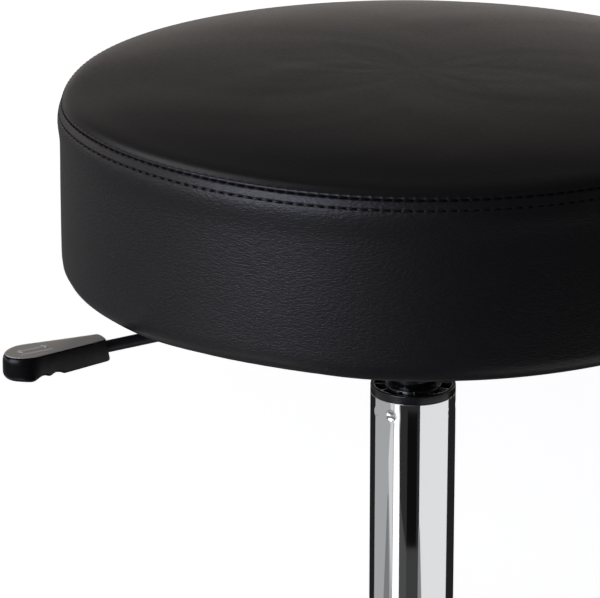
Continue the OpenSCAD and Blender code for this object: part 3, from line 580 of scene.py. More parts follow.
def leathercloth(s, name, depth):
    """Black PVC leathercloth, embossed with a fine level grain and calendered to a semi-matt skin: dark, with
    soft broad reflections that the grain breaks up. The grain is shallower where it is stretched."""
    material, tree, shader = finish_of(name, {"Specular IOR Level": 0.5, "IOR": 1.5})
    place = place_on(tree, (1, 1, 2.3))
    wander_over = add(tree, "ShaderNodeTexNoise", {"Vector": place, "Scale": 0.4 / s.grain, "Detail": 2.0})
    bent = add(
        tree, "ShaderNodeVectorMath", {0: wander_over.outputs["Color"], "Scale": 0.9 * s.grain},
        operation="SCALE"
    )
    drawn = add(tree, "ShaderNodeVectorMath", {0: place, 1: bent.outputs[0]}, operation="ADD")
    pebbles = add(
        tree, "ShaderNodeTexVoronoi", {"Vector": drawn.outputs[0], "Scale": 1 / s.grain, "Smoothness": 0.6},
        feature="SMOOTH_F1",
    )
    pores = add(tree, "ShaderNodeTexNoise", {"Vector": place, "Scale": 2.2 / s.grain, "Detail": 3.0})
    height = add(
        tree, "ShaderNodeMath", {0: pebbles.outputs["Distance"], 1: -1.0, 2: pores.outputs["Fac"]},
        operation="MULTIPLY_ADD",
    ).outputs[0]
    clouds = add(tree, "ShaderNodeTexNoise", {"Vector": place, "Scale": 1 / (55 * MM), "Detail": 4.0})
    tint = add(
        tree, "ShaderNodeMix",
        {0: clouds.outputs["Fac"], 6: opaque(s.cover_colour), 7: opaque(s.cover_colour, 1.25)},
        data_type="RGBA",
    )
    rough = add(
        tree, "ShaderNodeMapRange",
        {"Value": height, "From Min": -0.6, "From Max": 0.6, "To Min": 0.44, "To Max": 0.37}
    )
    bump = add(tree, "ShaderNodeBump", {"Height": height, "Strength": 0.8, "Distance": depth})
    connect(
        tree, shader,
        {"Base Color": tint.outputs[2], "Roughness": rough.outputs[0], "Normal": bump.outputs[0]},
    )
    return material


def sewing_thread(s):
    """Bonded polyester thread: twisted, near black, with hardly any shine."""
    material, tree, shader = finish_of(
        "bonded_polyester_thread", {"Base Color": opaque(s.thread_colour), "Specular IOR Level": 0.12}
    )
    twist = add(
        tree, "ShaderNodeTexNoise",
        {"Vector": place_on(tree, (1, 1, 2)), "Scale": 1 / (0.35 * MM), "Detail": 1.0}
    ).outputs["Fac"]
    rough = add(tree, "ShaderNodeMapRange", {"Value": twist, "To Min": 0.65, "To Max": 0.85})
    bump = add(tree, "ShaderNodeBump", {"Height": twist, "Strength": 0.5, "Distance": 0.1 * MM})
    connect(tree, shader, {"Roughness": rough.outputs[0], "Normal": bump.outputs[0]})
    return material


def nonwoven_lining(s):
    """Spunbond polypropylene cloth: dull black felted fibres with a fine pattern of bonded points."""
    material, tree, shader = finish_of(
        "spunbond_black_lining", {"Roughness": 0.92, "Specular IOR Level": 0.2}
    )
    place = place_on(tree)
    fibres = add(
        tree, "ShaderNodeTexNoise", {"Vector": place, "Scale": 1 / (0.8 * MM), "Detail": 5.0}
    ).outputs["Fac"]
    points = add(tree, "ShaderNodeTexVoronoi", {"Vector": place, "Scale": 1 / (2.0 * MM)}).outputs["Distance"]
    height = add(tree, "ShaderNodeMath", {0: points, 1: 0.7, 2: fibres}, operation="MULTIPLY_ADD")
    tint = add(
        tree, "ShaderNodeMix", {0: fibres, 6: opaque(s.lining_colour), 7: opaque(s.lining_colour, 2.2)},
        data_type="RGBA",
    )
    bump = add(tree, "ShaderNodeBump", {"Height": height.outputs[0], "Strength": 0.6, "Distance": 0.25 * MM})
    connect(tree, shader, {"Base Color": tint.outputs[2], "Normal": bump.outputs[0]})
    return material


def moulded(name, tone, roughness, spark, depth, gloss=0.5):
    """Injection-moulded plastic: an even colour with the fine spark-eroded texture of its mould, whose width
    and depth are given, and faint handling marks."""
    material, tree, shader = finish_of(name, {"Specular IOR Level": gloss, "IOR": 1.53})
    place = place_on(tree)
    sparks = add(tree, "ShaderNodeTexNoise", {"Vector": place, "Scale": 1 / spark, "Detail": 3.0})
    marks = add(
        tree, "ShaderNodeTexNoise", {"Vector": place, "Scale": 1 / (14 * MM), "Detail": 5.0}
    ).outputs["Fac"]
    tint = add(tree, "ShaderNodeMix", {0: marks, 6: opaque(tone), 7: opaque(tone, 1.3)}, data_type="RGBA")
    rough = add(
        tree, "ShaderNodeMapRange",
        {
            "Value": marks, "From Min": 0.3, "From Max": 0.7, "To Min": roughness - 0.05,
            "To Max": roughness + 0.06,
        },
    )
    bump = add(tree, "ShaderNodeBump", {"Height": sparks.outputs["Fac"], "Strength": 0.4, "Distance": depth})
    connect(
        tree, shader,
        {"Base Color": tint.outputs[2], "Roughness": rough.outputs[0], "Normal": bump.outputs[0]},
    )
    return material


def plated(name, tone, roughness, speck, depth):
    """Bare or plated metal with a fine matt speckle, whose width and depth are given, a little lighter and
    darker from place to place."""
    material, tree, shader = finish_of(name, {"Metallic": 1.0})
    place = place_on(tree)
    specks = add(
        tree, "ShaderNodeTexNoise", {"Vector": place, "Scale": 1 / speck, "Detail": 4.0}
    ).outputs["Fac"]
    cloud = add(
        tree, "ShaderNodeTexNoise", {"Vector": place, "Scale": 1 / (9 * MM), "Detail": 2.0}
    ).outputs["Fac"]
    tint = add(
        tree, "ShaderNodeMix", {0: cloud, 6: opaque(tone, 0.85), 7: opaque(tone, 1.1)}, data_type="RGBA"
    )
    rough = add(
        tree, "ShaderNodeMapRange", {"Value": specks, "To Min": roughness - 0.08, "To Max": roughness + 0.08}
    )
    bump = add(tree, "ShaderNodeBump", {"Height": specks, "Strength": 0.3, "Distance": depth})
    connect(
        tree, shader,
        {"Base Color": tint.outputs[2], "Roughness": rough.outputs[0], "Normal": bump.outputs[0]},
    )
    return material


def zinc_plate(s):
    """Bright zinc plate on pressed steel, the same wherever it is asked for."""
    name = "zinc_plated_steel"
    return bpy.data.materials.get(name) or plated(name, s.zinc_colour, 0.38, 0.9 * MM, 0.05 * MM)


def bright_chrome(s):
    """Bright chrome on polished drawn tube: a clear mirror with a breath of polishing lines and very slight
    ripple along the tube. The same wherever it is asked for."""
    name = "bright_chrome_plate"
    if bpy.data.materials.get(name):
        return bpy.data.materials[name]
    material, tree, shader = finish_of(name, {"Base Color": opaque(s.chrome_colour), "Metallic": 1.0})
    lines = add(
        tree, "ShaderNodeTexNoise",
        {"Vector": place_on(tree, (1, 1, 0.06)), "Scale": 1 / (1.2 * MM), "Detail": 2.0}
    )
    ripple = add(
        tree, "ShaderNodeTexNoise",
        {"Vector": place_on(tree, (1, 1, 0.3)), "Scale": 1 / (45 * MM), "Detail": 1.0}
    )
    rough = add(tree, "ShaderNodeMapRange", {"Value": lines.outputs["Fac"], "To Min": 0.03, "To Max": 0.07})
    bump = add(
        tree, "ShaderNodeBump", {"Height": ripple.outputs["Fac"], "Strength": 0.25, "Distance": 0.5 * MM}
    )
    connect(tree, shader, {"Roughness": rough.outputs[0], "Normal": bump.outputs[0]})
    return material


def lacquer(s):
    """Gloss black stoving lacquer on the ground steel of the inner cylinder, with a thin film of oil: sharp
    highlights over near black."""
    material, tree, shader = finish_of(
        "gloss_black_lacquer",
        {"Base Color": opaque(s.lacquer_colour), "Coat Weight": 0.6, "Coat Roughness": 0.05},
    )
    smear = add(
        tree, "ShaderNodeTexNoise",
        {"Vector": place_on(tree, (1, 1, 0.2)), "Scale": 1 / (3 * MM), "Detail": 3.0}
    )
    rough = add(tree, "ShaderNodeMapRange", {"Value": smear.outputs["Fac"], "To Min": 0.12, "To Max": 0.24})
    connect(tree, shader, {"Roughness": rough.outputs[0]})
    return material


def powder_coat(name, tone):
    """Black powder coat on pressed steel: semi-matt, with the orange peel of the baked powder."""
    material, tree, shader = finish_of(name, {"Base Color": opaque(tone), "Specular IOR Level": 0.45})
    place = place_on(tree)
    peel = add(tree, "ShaderNodeTexNoise", {"Vector": place, "Scale": 1 / (1.3 * MM), "Detail": 2.0})
    dust = add(tree, "ShaderNodeTexNoise", {"Vector": place, "Scale": 1 / (30 * MM), "Detail": 6.0})
    rough = add(tree, "ShaderNodeMapRange", {"Value": dust.outputs["Fac"], "To Min": 0.36, "To Max": 0.56})
    bump = add(
        tree, "ShaderNodeBump", {"Height": peel.outputs["Fac"], "Strength": 0.5, "Distance": 0.12 * MM}
    )
    connect(tree, shader, {"Roughness": rough.outputs[0], "Normal": bump.outputs[0]})
    return material


def grip_foil(s):
    """Hot-stamped foil in a warm metallic grey: satin, with a faint grain along the grip."""
    material, tree, shader = finish_of("hot_stamped_grey_foil", {"Metallic": 0.85})
    grain = add(
        tree, "ShaderNodeTexNoise",
        {"Vector": place_on(tree, (0.12, 1, 1)), "Scale": 1 / (0.5 * MM), "Detail": 3.0}
    ).outputs["Fac"]
    tint = add(
        tree, "ShaderNodeMix", {0: grain, 6: opaque(s.foil_colour, 0.92), 7: opaque(s.foil_colour, 1.08)},
        data_type="RGBA",
    )
    rough = add(tree, "ShaderNodeMapRange", {"Value": grain, "To Min": 0.36, "To Max": 0.5})
    bump = add(tree, "ShaderNodeBump", {"Height": grain, "Strength": 0.2, "Distance": 0.05 * MM})
    connect(
        tree, shader,
        {"Base Color": tint.outputs[2], "Roughness": rough.outputs[0], "Normal": bump.outputs[0]},
    )
    return material


def plywood():
    """Birch plywood, sawn at the edge and bare: thin pale and brown plies with a fine grain."""
    material, tree, shader = finish_of("birch_plywood", {"Roughness": 0.7})
    plies = add(
        tree, "ShaderNodeTexWave", {"Vector": place_on(tree), "Scale": 1 / (9 * MM), "Distortion": 0.6},
        bands_direction="Z",
    ).outputs["Fac"]
    grain = add(
        tree, "ShaderNodeTexNoise",
        {"Vector": place_on(tree, (0.08, 1, 1)), "Scale": 1 / (1.2 * MM), "Detail": 5.0}
    ).outputs["Fac"]
    factor = add(tree, "ShaderNodeMath", {0: plies, 1: 0.5, 2: grain}, operation="MULTIPLY_ADD")
    tint = add(
        tree, "ShaderNodeMix",
        {0: factor.outputs[0], 6: opaque(linear("#d8b888")), 7: opaque(linear("#a97c48"))}, data_type="RGBA",
    )
    bump = add(tree, "ShaderNodeBump", {"Height": grain, "Strength": 0.4, "Distance": 0.2 * MM})
    connect(tree, shader, {"Base Color": tint.outputs[2], "Normal": bump.outputs[0]})
    return material


def wander(angle, along, size, seed):
    """Slow unevenness of a cover over its foam: a few waves round and along the surface with seeded phases,
    summed."""
    generator = np.random.default_rng(seed)
    total = 0.0
    for waves in (3, 5, 8, 13, 21):
        phase, other, pull = generator.uniform(0, TURN, 3)
        bent = waves * angle + phase + 0.9 * np.sin(along / (22 * MM) + pull)
        total = total + np.sin(bent) * np.cos(along / (140 * MM / waves) + other) / waves**0.7
    return size * total / 1.6


def stitch_gap(angle, stitches):
    """1 between two stitches and 0 along them: bell curves round the places where the thread dives in."""
    phase = (angle * stitches / TURN) % 1
    return np.exp(-((np.minimum(phase, 1 - phase) / 0.11) ** 2))


def bell(angle, middle, width):
    """Bell curve round a circle. The middle and the width are in degrees."""
    away = (np.degrees(angle) - middle + 180) % 360 - 180
    return np.exp(-((away / width) ** 2))


def unevenness(s, angle, radius, height):
    """How far the hand-stretched cover lies inwards and upwards of its ideal form: bell curves round the
    column, each fading away from the edge or the seam that it belongs to."""
    bottom, seam, side = low("seat_side_band")[2], high("seat_side_band")[2], high("seat_top_cover")[0]
    out = radius - side
    outside = 0.35 * np.clip(out / (12 * MM) + 1.9, 0, 1) + 0.65 * np.clip(out / (4 * MM) + 2.5, 0, 1)
    edge = outside * np.clip(1 - (height - bottom) / (50 * MM), 0, 1) ** 2
    tucked = 1.35 * bell(angle, 211, 12) + 0.35 * bell(angle, 197, 7)
    tucked = tucked + 0.5 * bell(angle, 60, 14) + 0.35 * bell(angle, 330, 16)
    near_seam = np.clip(1 - (seam - height) / (60 * MM), 0, 1) ** 2
    rim = near_seam * np.clip((radius / side - 0.45) / 0.55, 0, 1) ** 2
    sunk = bell(angle, 151, 15) - 0.4 * bell(angle, 196, 22) + 0.4 * bell(angle, 40, 40)
    upward = s.tuck * edge * tucked - s.sag * rim * sunk
    inward = 0.6 * s.sag * rim * (bell(angle, 135, 16) + 0.4 * bell(angle, 75, 25))
    return inward, upward


def band_path(s):
    """The band's outer outline from its inner edge under the board, round the bottom edge and up to the seam,
    as (radius, height) keys of a smooth path."""
    bottom, seam, side = low("seat_side_band")[2], high("seat_side_band")[2], high("seat_top_cover")[0]
    edge, roll_z, roll_up = side - s.edge_in, seam - s.roll_drop, s.roll_drop - s.row_gap
    arc = np.radians(np.linspace(-90, 0, 7))
    corner = np.stack([np.cos(arc) - 1, np.sin(arc) + 1], 1) * s.edge_round + [edge, bottom]
    under = np.linspace(side - s.wrap_width - s.edge_in, edge - s.edge_round, 5)[:-1]
    ease_top = bottom + s.edge_round + s.edge_ease
    upright = [
        (side - 0.25 * s.edge_in, ease_top - 0.45 * s.edge_ease),
        (side, ease_top),
        (side, (bottom + roll_z) / 2),
        (side, roll_z - 1.25 * s.roll_ease),
        (side + 0.04 * s.roll_out, roll_z - s.roll_ease),
        (side + 0.5 * s.roll_out, roll_z - 0.52 * s.roll_ease),
        (side + 0.93 * s.roll_out, roll_z - 0.18 * s.roll_ease),
        (side + s.roll_out, roll_z),
        (side + 0.92 * s.roll_out, roll_z + 0.36 * roll_up),
        (side + 0.76 * s.roll_out, roll_z + 0.66 * roll_up),
        (side + 0.45 * s.roll_out, seam - s.row_gap),
        (side - s.seam_in, seam),
    ]
    return np.concatenate([[(r, bottom) for r in under], corner, upright])


def side_band(s):
    """Side band: the outline carried round the column, pushed in at the seam and at the lower row of thread,
    swelling between the stitches, wandering slowly over the foam and gathered in pleats under the board."""
    fine = smooth_path(band_path(s))
    total = run_length(fine)[-1]
    down = graded(total, (0, s.row_gap), 0.33 * MM, 5.5 * MM, 2.6 * MM, 62)
    path = sampled(fine, total - down)
    ahead = np.gradient(path, down, axis=0)
    normal = np.stack([-ahead[:, 1], ahead[:, 0]], 1) / np.linalg.norm(ahead, axis=1, keepdims=True)
    angle, rows = even_angles(s.stitches * s.stitch_columns)[None, :], down[:, None]
    gap = stitch_gap(angle, s.stitches)
    row = np.exp(-(((rows - s.row_gap) / (0.55 * MM)) ** 2))
    puff = np.exp(-(((rows - s.row_gap) / (1.5 * MM)) ** 2))
    push = -s.crease * np.exp(-((rows / s.crease_width) ** 2)) * (1 - 0.95 * gap)
    push = push - s.groove * row * (1 - 0.8 * gap) + 0.25 * s.groove * puff * gap
    free = np.clip((rows - s.row_gap) / (20 * MM), 0, 1) * np.clip((total - rows) / (30 * MM), 0, 1)
    push = push + free * wander(angle, rows, s.waviness, 4)
    under = np.clip((rows - (total - s.wrap_width + s.edge_round)) / (12 * MM), 0, 1)
    fold = np.abs(np.sin(angle * s.pleats / 2 + 0.4 * np.sin(7 * angle) + 0.3 * np.sin(19 * angle))) ** 3
    push = push + s.pleat * under * (fold - 0.25) * np.clip((total - rows) / (6 * MM), 0, 1)
    radius = path[:, :1] + push * normal[:, :1]
    height = path[:, 1:] + push * normal[:, 1:]
    inward, upward = unevenness(s, angle, radius, height)
    outer = around(radius - inward, angle, height + upward)
    inner = sampled(fine, np.linspace(0, total - 2 * s.vinyl, 14))
    along = np.gradient(inner, axis=0)
    outwards = np.stack([along[:, 1], -along[:, 0]], 1) / np.linalg.norm(along, axis=1, keepdims=True)
    rings = list(outer) + [circle(r, z, s.stitches) for r, z in inner - 2 * s.vinyl * outwards]
    cover = leathercloth(s, "embossed_black_leathercloth", s.side_grain)
    thing = piece(
        "seat_side_panel", [skin(rings, closed=True)], cover, "seat", ["seat_side_band"], 60
    )


def crown(s):
    """Top panel on its foam: a flat crown that rounds over to the seam, a rolled rim, a crease at the seam,
    small swellings between the stitches, and the seam allowance and foam below, hidden by the band. The
    crown's outline is a superellipse with one power along the radius and another along the height."""
    seam_r, seam = high("seat_top_cover")[0] - s.seam_in, high("seat_side_band")[2]
    rise, fullness, power = high("seat_top_cover")[2] - seam - s.crown_drop, 2.8, 1.7
    x = np.cos(np.linspace(0, math.pi / 2, 3000)) ** (2 / fullness)
    dense = np.stack([seam_r * x, seam + rise * np.clip(1 - x**fullness, 0, 1) ** (1 / power)], 1)
    dense[-1, 0] = 0
    places = graded(run_length(dense)[-1] - 9 * MM, (0,), 0.3 * MM, 7 * MM, 4 * MM, 52)
    path = sampled(dense, places)
    ahead = np.gradient(path, places, axis=0)
    normal = np.stack([ahead[:, 1], -ahead[:, 0]], 1) / np.linalg.norm(ahead, axis=1, keepdims=True)
    crown_rings = []
    for (r, z), out, place in zip(path, normal, places):
        angle = even_angles(s.stitches * (s.stitch_columns if place < 16 * MM else 1))
        gap = stitch_gap(angle, s.stitches)
        push = -s.crease * math.exp(-((place / s.crease_width) ** 2)) * (1 - 0.95 * gap)
        push = push + 0.3 * MM * gap * math.exp(-(((place - 1.2 * MM) / (0.7 * MM)) ** 2))
        push = push + min(place / (40 * MM), 1) * wander(angle, place, s.waviness, 9) * min(1, r / (60 * MM))
        away = max(0, seam_r - r)
        full = np.clip(np.cos((angle - s.rim_angle + math.pi) % TURN / 2 - math.pi / 2), 0, 1) ** 3
        rim = s.rim_roll * (1 - math.exp(-away / s.rim_start)) * math.exp(-((away / s.rim_reach) ** 2)) * full
        ring_r, ring_z = r + push * out[0], z + rim + push * out[1]
        inward, upward = unevenness(s, angle, ring_r, ring_z)
        crown_rings.append(around(ring_r - inward, angle, ring_z + upward))
    board_top, inside = high("seat_board")[2], seam_r - 3 * s.vinyl
    hidden = [
        (inside - 14 * MM, board_top), (inside - 12 * MM, board_top + 20 * MM),
        (inside - 6 * MM, seam - 25 * MM), (inside, seam - 3 * MM),
    ]
    rings = [[(0, 0, board_top)]] + [circle(r, z, s.stitches) for r, z in hidden]
    rings += crown_rings + [[(0, 0, seam + rise)]]
    cover = leathercloth(s, "stretched_black_leathercloth", s.top_grain)
    thing = piece(
        "seat_top_panel", [skin(rings)], cover, "seat", ["seat_top_cover", "seat_foam"], 60
    )


def thread_row(s, radius, height, lean, stitch, lift):
    """One row of stitches: each is a thin tube bent along the circle, arched in its middle and diving into
    the cover at both ends. lean is the angle of the cover's normal above the level, and lift how far the
    thread's centre stands above the cover."""
    along = np.array([-1.0, -0.9, -0.65, 0.0, 0.65, 0.9, 1.0])
    dive = -1.3 * s.thread * np.abs(along) ** 6
    thick = s.thread / 2 * np.array([0.35, 0.8, 1.0, 1.06, 1.0, 0.8, 0.35])
    middle = (even_angles(s.stitches) + TURN / s.stitches / 2)[:, None, None]
    spin = even_angles(6)[None, None, :]
    angle = middle + (along * stitch / 2 / radius)[None, :, None]
    off = (lift + dive)[None, :, None] + thick[None, :, None] * np.cos(spin)
    side = thick[None, :, None] * np.sin(spin)
    r = radius + off * math.cos(lean) - side * math.sin(lean)
    z = height + off * math.sin(lean) + side * math.cos(lean)
    inward, upward = unevenness(s, angle, radius, height)
    points = around(r - inward, angle, z + upward)
    first, groups = skin(list(points[0]))
    starts = (np.arange(s.stitches) * len(first))[:, None, None]
    return points.reshape(-1, 3), [(group[None] + starts).reshape(-1, group.shape[1]) for group in groups]


def seam_thread(s):
    """Both rows of thread: one in the seam's crease and one below it on the band."""
    side, seam = high("seat_top_cover")[0], high("seat_side_band")[2]
    upper = thread_row(s, side - s.seam_in, seam, math.radians(35), s.upper_stitch, -0.35 * s.crease)
    lower = thread_row(
        s, side + 0.45 * s.roll_out, seam - s.row_gap, math.radians(13), s.lower_stitch,
        0.2 * s.thread - s.groove
    )
    piece("seam_thread", [upper, lower], sewing_thread(s), "seat", (), 60)


def dust_cover(s):
    """Dust cover: a disc of cloth, level against the board, stepping down over the turned-under band and
    pulled into shallow scallops by its staples."""
    reach, scallop, above = high("dust_cover")[0], 0.6 * MM, 0.35 * MM
    inner = high("seat_top_cover")[0] - s.edge_in - s.wrap_width
    level, bottom = low("seat_board")[2] - above, low("dust_cover")[2] + above
    angle = even_angles(256)
    rings = [np.array([[0, 0, level]])]
    radii = [*np.linspace(20 * MM, inner - 4 * MM, 16), *np.linspace(inner - 2 * MM, reach, 10)]
    for radius in radii:
        drop = np.clip((radius - inner + 3 * MM) / (4 * MM), 0, 1) ** 2
        pull = 0.35 * MM * np.cos(s.scallops * angle) * np.clip((radius - inner) / (10 * MM), 0, 1)
        hang = math.exp(-(((radius - 0.9 * inner) / (15 * MM)) ** 2))
        sag = 0.5 * MM * hang * (1 + 0.4 * np.sin(5 * angle))
        height = level + (bottom - level) * drop - sag * (1 - drop) - 0.5 * pull * drop
        edge = scallop * (np.cos(s.scallops * angle) - 1) if radius >= reach - AXIS else 0
        rings.append(around(radius + edge, angle, height))
    points, groups = skin(rings)
    sheet = [group for group in groups if group.shape[1] < 10]
    thing = piece(
        "dust_cover_cloth", [(points, sheet)], nonwoven_lining(s), "seat", ["dust_cover"], 60
    )
    thickness = thing.modifiers.new("cloth thickness", "SOLIDIFY")
    thickness.thickness, thickness.offset = s.cloth, 0


def rounded_square(width, corner):
    """Outline of a square whose corners are quarter circles."""
    reach = width / 2 - corner
    arc = np.radians(np.linspace(0, 90, 9))
    parts = []
    for turn in np.radians([0, 90, 180, 270]):
        diagonal = turn + math.radians(45)
        centre = reach * math.sqrt(2) * np.array([math.cos(diagonal), math.sin(diagonal)])
        parts.append(centre + corner * np.stack([np.cos(arc + turn), np.sin(arc + turn)], 1))
    return np.concatenate(parts)


def rounded_bar(outline, bottom, top, cut):
    """Slab between two heights whose edges are rounded by a cut."""
    quarter = np.radians(np.linspace(0, 90, 5))
    lower = [(cut * (1 - math.sin(a)), bottom + cut * (1 - math.cos(a))) for a in quarter]
    upper = [(cut * (1 - math.cos(a)), top - cut * (1 - math.sin(a))) for a in quarter]
    return slab(outline, lower + upper)


def seat_plate(s, steel):
    """Pressed square plate with round corners."""
    bottom, top = low("seat_plate"), high("seat_plate")
    plate = rounded_bar(rounded_square(top[0] - bottom[0], s.plate_corner), bottom[2], top[2], s.plate_edge)
    piece("seat_plate_pressing", [plate], steel, "seat", ["seat_plate"])


def plate_fasteners(s, zinc):
    """Four screws with chamfered hexagon heads, and the washers under them."""
    head, point = low("plate_screws")[2], high("plate_screws")[2]
    bottom, top = low("plate_washers"), high("plate_washers")
    spread = (top[0] - bottom[0] - s.washer) / 2
    hole, rim, shank_r = s.washer_hole / 2, s.washer / 2, s.screw / 2
    section = [(hole, bottom[2]), (rim, bottom[2]), (rim, top[2]), (hole, top[2])]
    washer = lathe(eased(section, 0.3 * MM, 3, True), 48, True)
    hexagon_levels = ((0.62, 0.3 * MM), (0.86, 0), (1, 0.7 * MM), (1, s.screw_head))
    bolt = skin([circle(s.screw_across / 2 * scale, head + rise, 6) for scale, rise in hexagon_levels])
    start = head + s.screw_head - MM
    shank = [
        (0, start), (shank_r, start), (shank_r, point - s.screw_point), (shank_r - s.screw_point, point),
        (0, point)
    ]
    spots = [(x * spread, y * spread, 0) for x in (-1, 1) for y in (-1, 1)]
    screws = [shifted(part, spot) for spot in spots for part in (bolt, lathe(shank, 32))]
    piece("plate_screw_set", screws, zinc, "seat", ["plate_screws"])
    washers = [shifted(washer, spot) for spot in spots]
    piece("plate_washer_set", washers, zinc, "seat", ["plate_washers"])


def weld_bead(radius, height, leg):
    """Fillet weld under a plate round a sleeve: a rounded ring whose section grows and shrinks in overlapping
    ripples. The part of the section above the plate's face keeps its height."""
    angle = even_angles(288)
    ripple = leg * (1 + 0.1 * np.abs(np.sin(angle * 27)) + 0.05 * np.sin(11 * angle))
    section = eased([(-0.5, 0.3), (1.0, 0.3), (0.95, -0.25), (0.2, -1.0), (-0.5, -1.0)], 0.3, 4, True)
    rings = [around(radius + x * ripple, angle, height + y * (ripple if y < 0 else MM)) for x, y in section]
    return skin(rings, closed=True)


def taper_socket(s, steel):
    """Sleeve with a tapered bore, welded into the cradle's floor."""
    bottom, top, r, bore = low("taper_socket")[2], high("taper_socket")[2], s.socket / 2, s.socket_bore / 2
    section = [(bore, bottom), (r, bottom), (r, top), (bore - s.socket_lean, top)]
    shells = [
        lathe(eased(section, 0.8 * MM, 4, True), 96, True), weld_bead(r, low("lever_cradle")[2], s.weld)
    ]
    piece("taper_socket_sleeve", shells, steel, "seat", ["taper_socket"])


def grip_span():
    """Distances from the column's axis to the grip's inner and outer end."""
    return -high("lever_grip")[0], -low("lever_grip")[0]


def grip_outline(s):
    """Plan of the grip, seen from below, in 200 even steps: a half ellipse at the outer end, straight sides
    that taper to the neck and a rounded inner end. The ellipse is laid out as a circle in a plane that is
    shrunk along the grip, so that the sides touch it."""
    start, end = grip_span()
    half, neck, shrunk = high("lever_grip")[1], s.neck_width / 2, s.tip_stretch
    centre = end / shrunk - half
    lean = math.asin((half - neck) / (centre - start / shrunk))
    arc = np.linspace(-(math.pi / 2 + lean), math.pi / 2 + lean, 40)
    tip = np.stack([centre + half * np.cos(arc), half * np.sin(arc)], 1) * [shrunk, 1]
    back = eased([tip[-1], (start, neck), (start, -neck), tip[0]], s.neck_round, 5)[1:-1]
    loop = np.concatenate([tip, back, tip[:1]])
    return sampled(loop, np.linspace(0, run_length(loop)[-1], 201)[:-1])


def tip_fullness(plan):
    """0 along the grip and 1 at its outer end, for the points of a plan."""
    start, end = grip_span()
    return soft_step(((np.abs(plan[:, 0]) - start) / (end - start) - 0.76) / 0.2)


def from_above(plan):
    """A plan mirrored to the side of -X, where the grip is, and still running anticlockwise."""
    return (plan * [-1, 1])[::-1]


def set_back(s, shell):
    """A shell of the grip whose inner end is drawn back, by nothing at its bottom and most at its top."""
    points, faces = shell
    start, bottom, top = grip_span()[0], low("lever_grip")[2], high("lever_grip")[2]
    draw = s.neck_setback * soft_step((points[:, 2] - bottom) / (top - bottom) / 0.4 - 0.6)
    near = np.clip(1 - (-points[:, 0] - start) / s.setback_reach, 0, 1)
    return points - np.outer(draw * near, [1, 0, 0]), faces


def grip_top(s, plan):
    """Height of the grip's top: level at the outer end, and a ridge at the neck whose sides fall away with
    the square of the distance from the middle."""
    start, end = grip_span()
    half, neck = high("lever_grip")[1], s.neck_width / 2
    share_along = np.clip((-plan[:, 0] - start) / (end - half - start), 0, 1)
    width = neck + (half - neck) * share_along
    ridge = np.clip(1.25 - 1.5 * share_along, 0, 1)
    return high("lever_grip")[2] - s.foil_ridge * ridge * (plan[:, 1] / width) ** 2


def grip_bottom(s, plan):
    """Height of the grip's underside: level, lower at the fuller tip, with two rounded finger dips."""
    start, end = grip_span()
    along = (-plan[:, 0] - start) / (end - start)
    level = high("lever_grip")[2] - s.body_height
    drop = (level - low("lever_grip")[2]) * soft_step((along - s.tip_share) / s.tip_ease_share + 0.5)
    dips = sum(
        np.clip(1 - ((along - place) / s.dip_width_share) ** 2, 0, 1) ** 1.6
        for place in (s.dip_first_share, s.dip_second_share)
    )
    return level - drop + s.dip_depth * dips


def lever_rod(s):
    """Lever rod along -X with rounded ends, the sleeve across it on the pivot pin and the round press pad."""
    bottom, top = low("lever_rod"), high("lever_rod")
    pivot, _, lever_z = JOINTS["lever_lift"]["pos_m"]
    r, half, bore, sleeve_r = s.rod / 2, top[1], s.sleeve_bore / 2, s.sleeve / 2
    bar = eased([(AXIS, -top[0]), (r, -top[0]), (r, -bottom[0]), (AXIS, -bottom[0])], s.rod_end)
    rod = shifted(along_x(lathe([(0, -top[0]), *bar, (0, -bottom[0])], 48)), (0, 0, lever_z))
    section = [(bore, -half), (sleeve_r, -half), (sleeve_r, half), (bore, half)]
    sleeve = shifted(across(lathe(eased(section, 0.5 * MM, 4, True), 64, True)), (pivot, 0, lever_z))
    pad_r, chamfer, pad_low = s.pad / 2, 0.4 * MM, lever_z - r
    pad = [
        (0, pad_low), (pad_r - chamfer, pad_low), (pad_r, pad_low + chamfer), (pad_r, lever_z), (0, lever_z)
    ]
    paint = powder_coat("black_enamel_rod", s.rod_colour)
    piece("lever_rod_bar", [rod, sleeve, lathe(pad, 48)], paint, "lever", ["lever_rod"])


def lever_grip(s):
    """Grip: its plan carried from the underside to the top, with quarter-round edges that grow at the tip."""
    plan = from_above(grip_outline(s))
    tip = tip_fullness(plan)
    edge = s.grip_edge * s.grip_round
    cut = s.grip_round + (s.tip_round - s.grip_round) * tip
    narrow = edge + (s.tip_bulge - edge) * tip
    tall = edge + (s.tip_bulge_height - edge) * tip
    quarter = np.radians(np.linspace(0, 90, 9))
    inner = [(cut + inset, lambda flat: grip_bottom(s, flat)) for inset in (1.6 * MM, 0.8 * MM)]
    lower = [
        (cut * (1 - math.sin(a)), lambda flat, a=a: grip_bottom(s, flat) + cut * (1 - math.cos(a)))
        for a in quarter
    ]
    upper = [
        (narrow * (1 - math.cos(a)), lambda flat, a=a: grip_top(s, flat) - tall * (1 - math.sin(a)))
        for a in quarter
    ]
    plastic = moulded("satin_black_grip", s.grip_colour, 0.26, 0.7 * MM, 0.03 * MM, 0.24)
    body = set_back(s, slab(plan, inner + lower + upper))
    piece("lever_grip_body", [body], plastic, "lever", ["lever_grip"], 50)


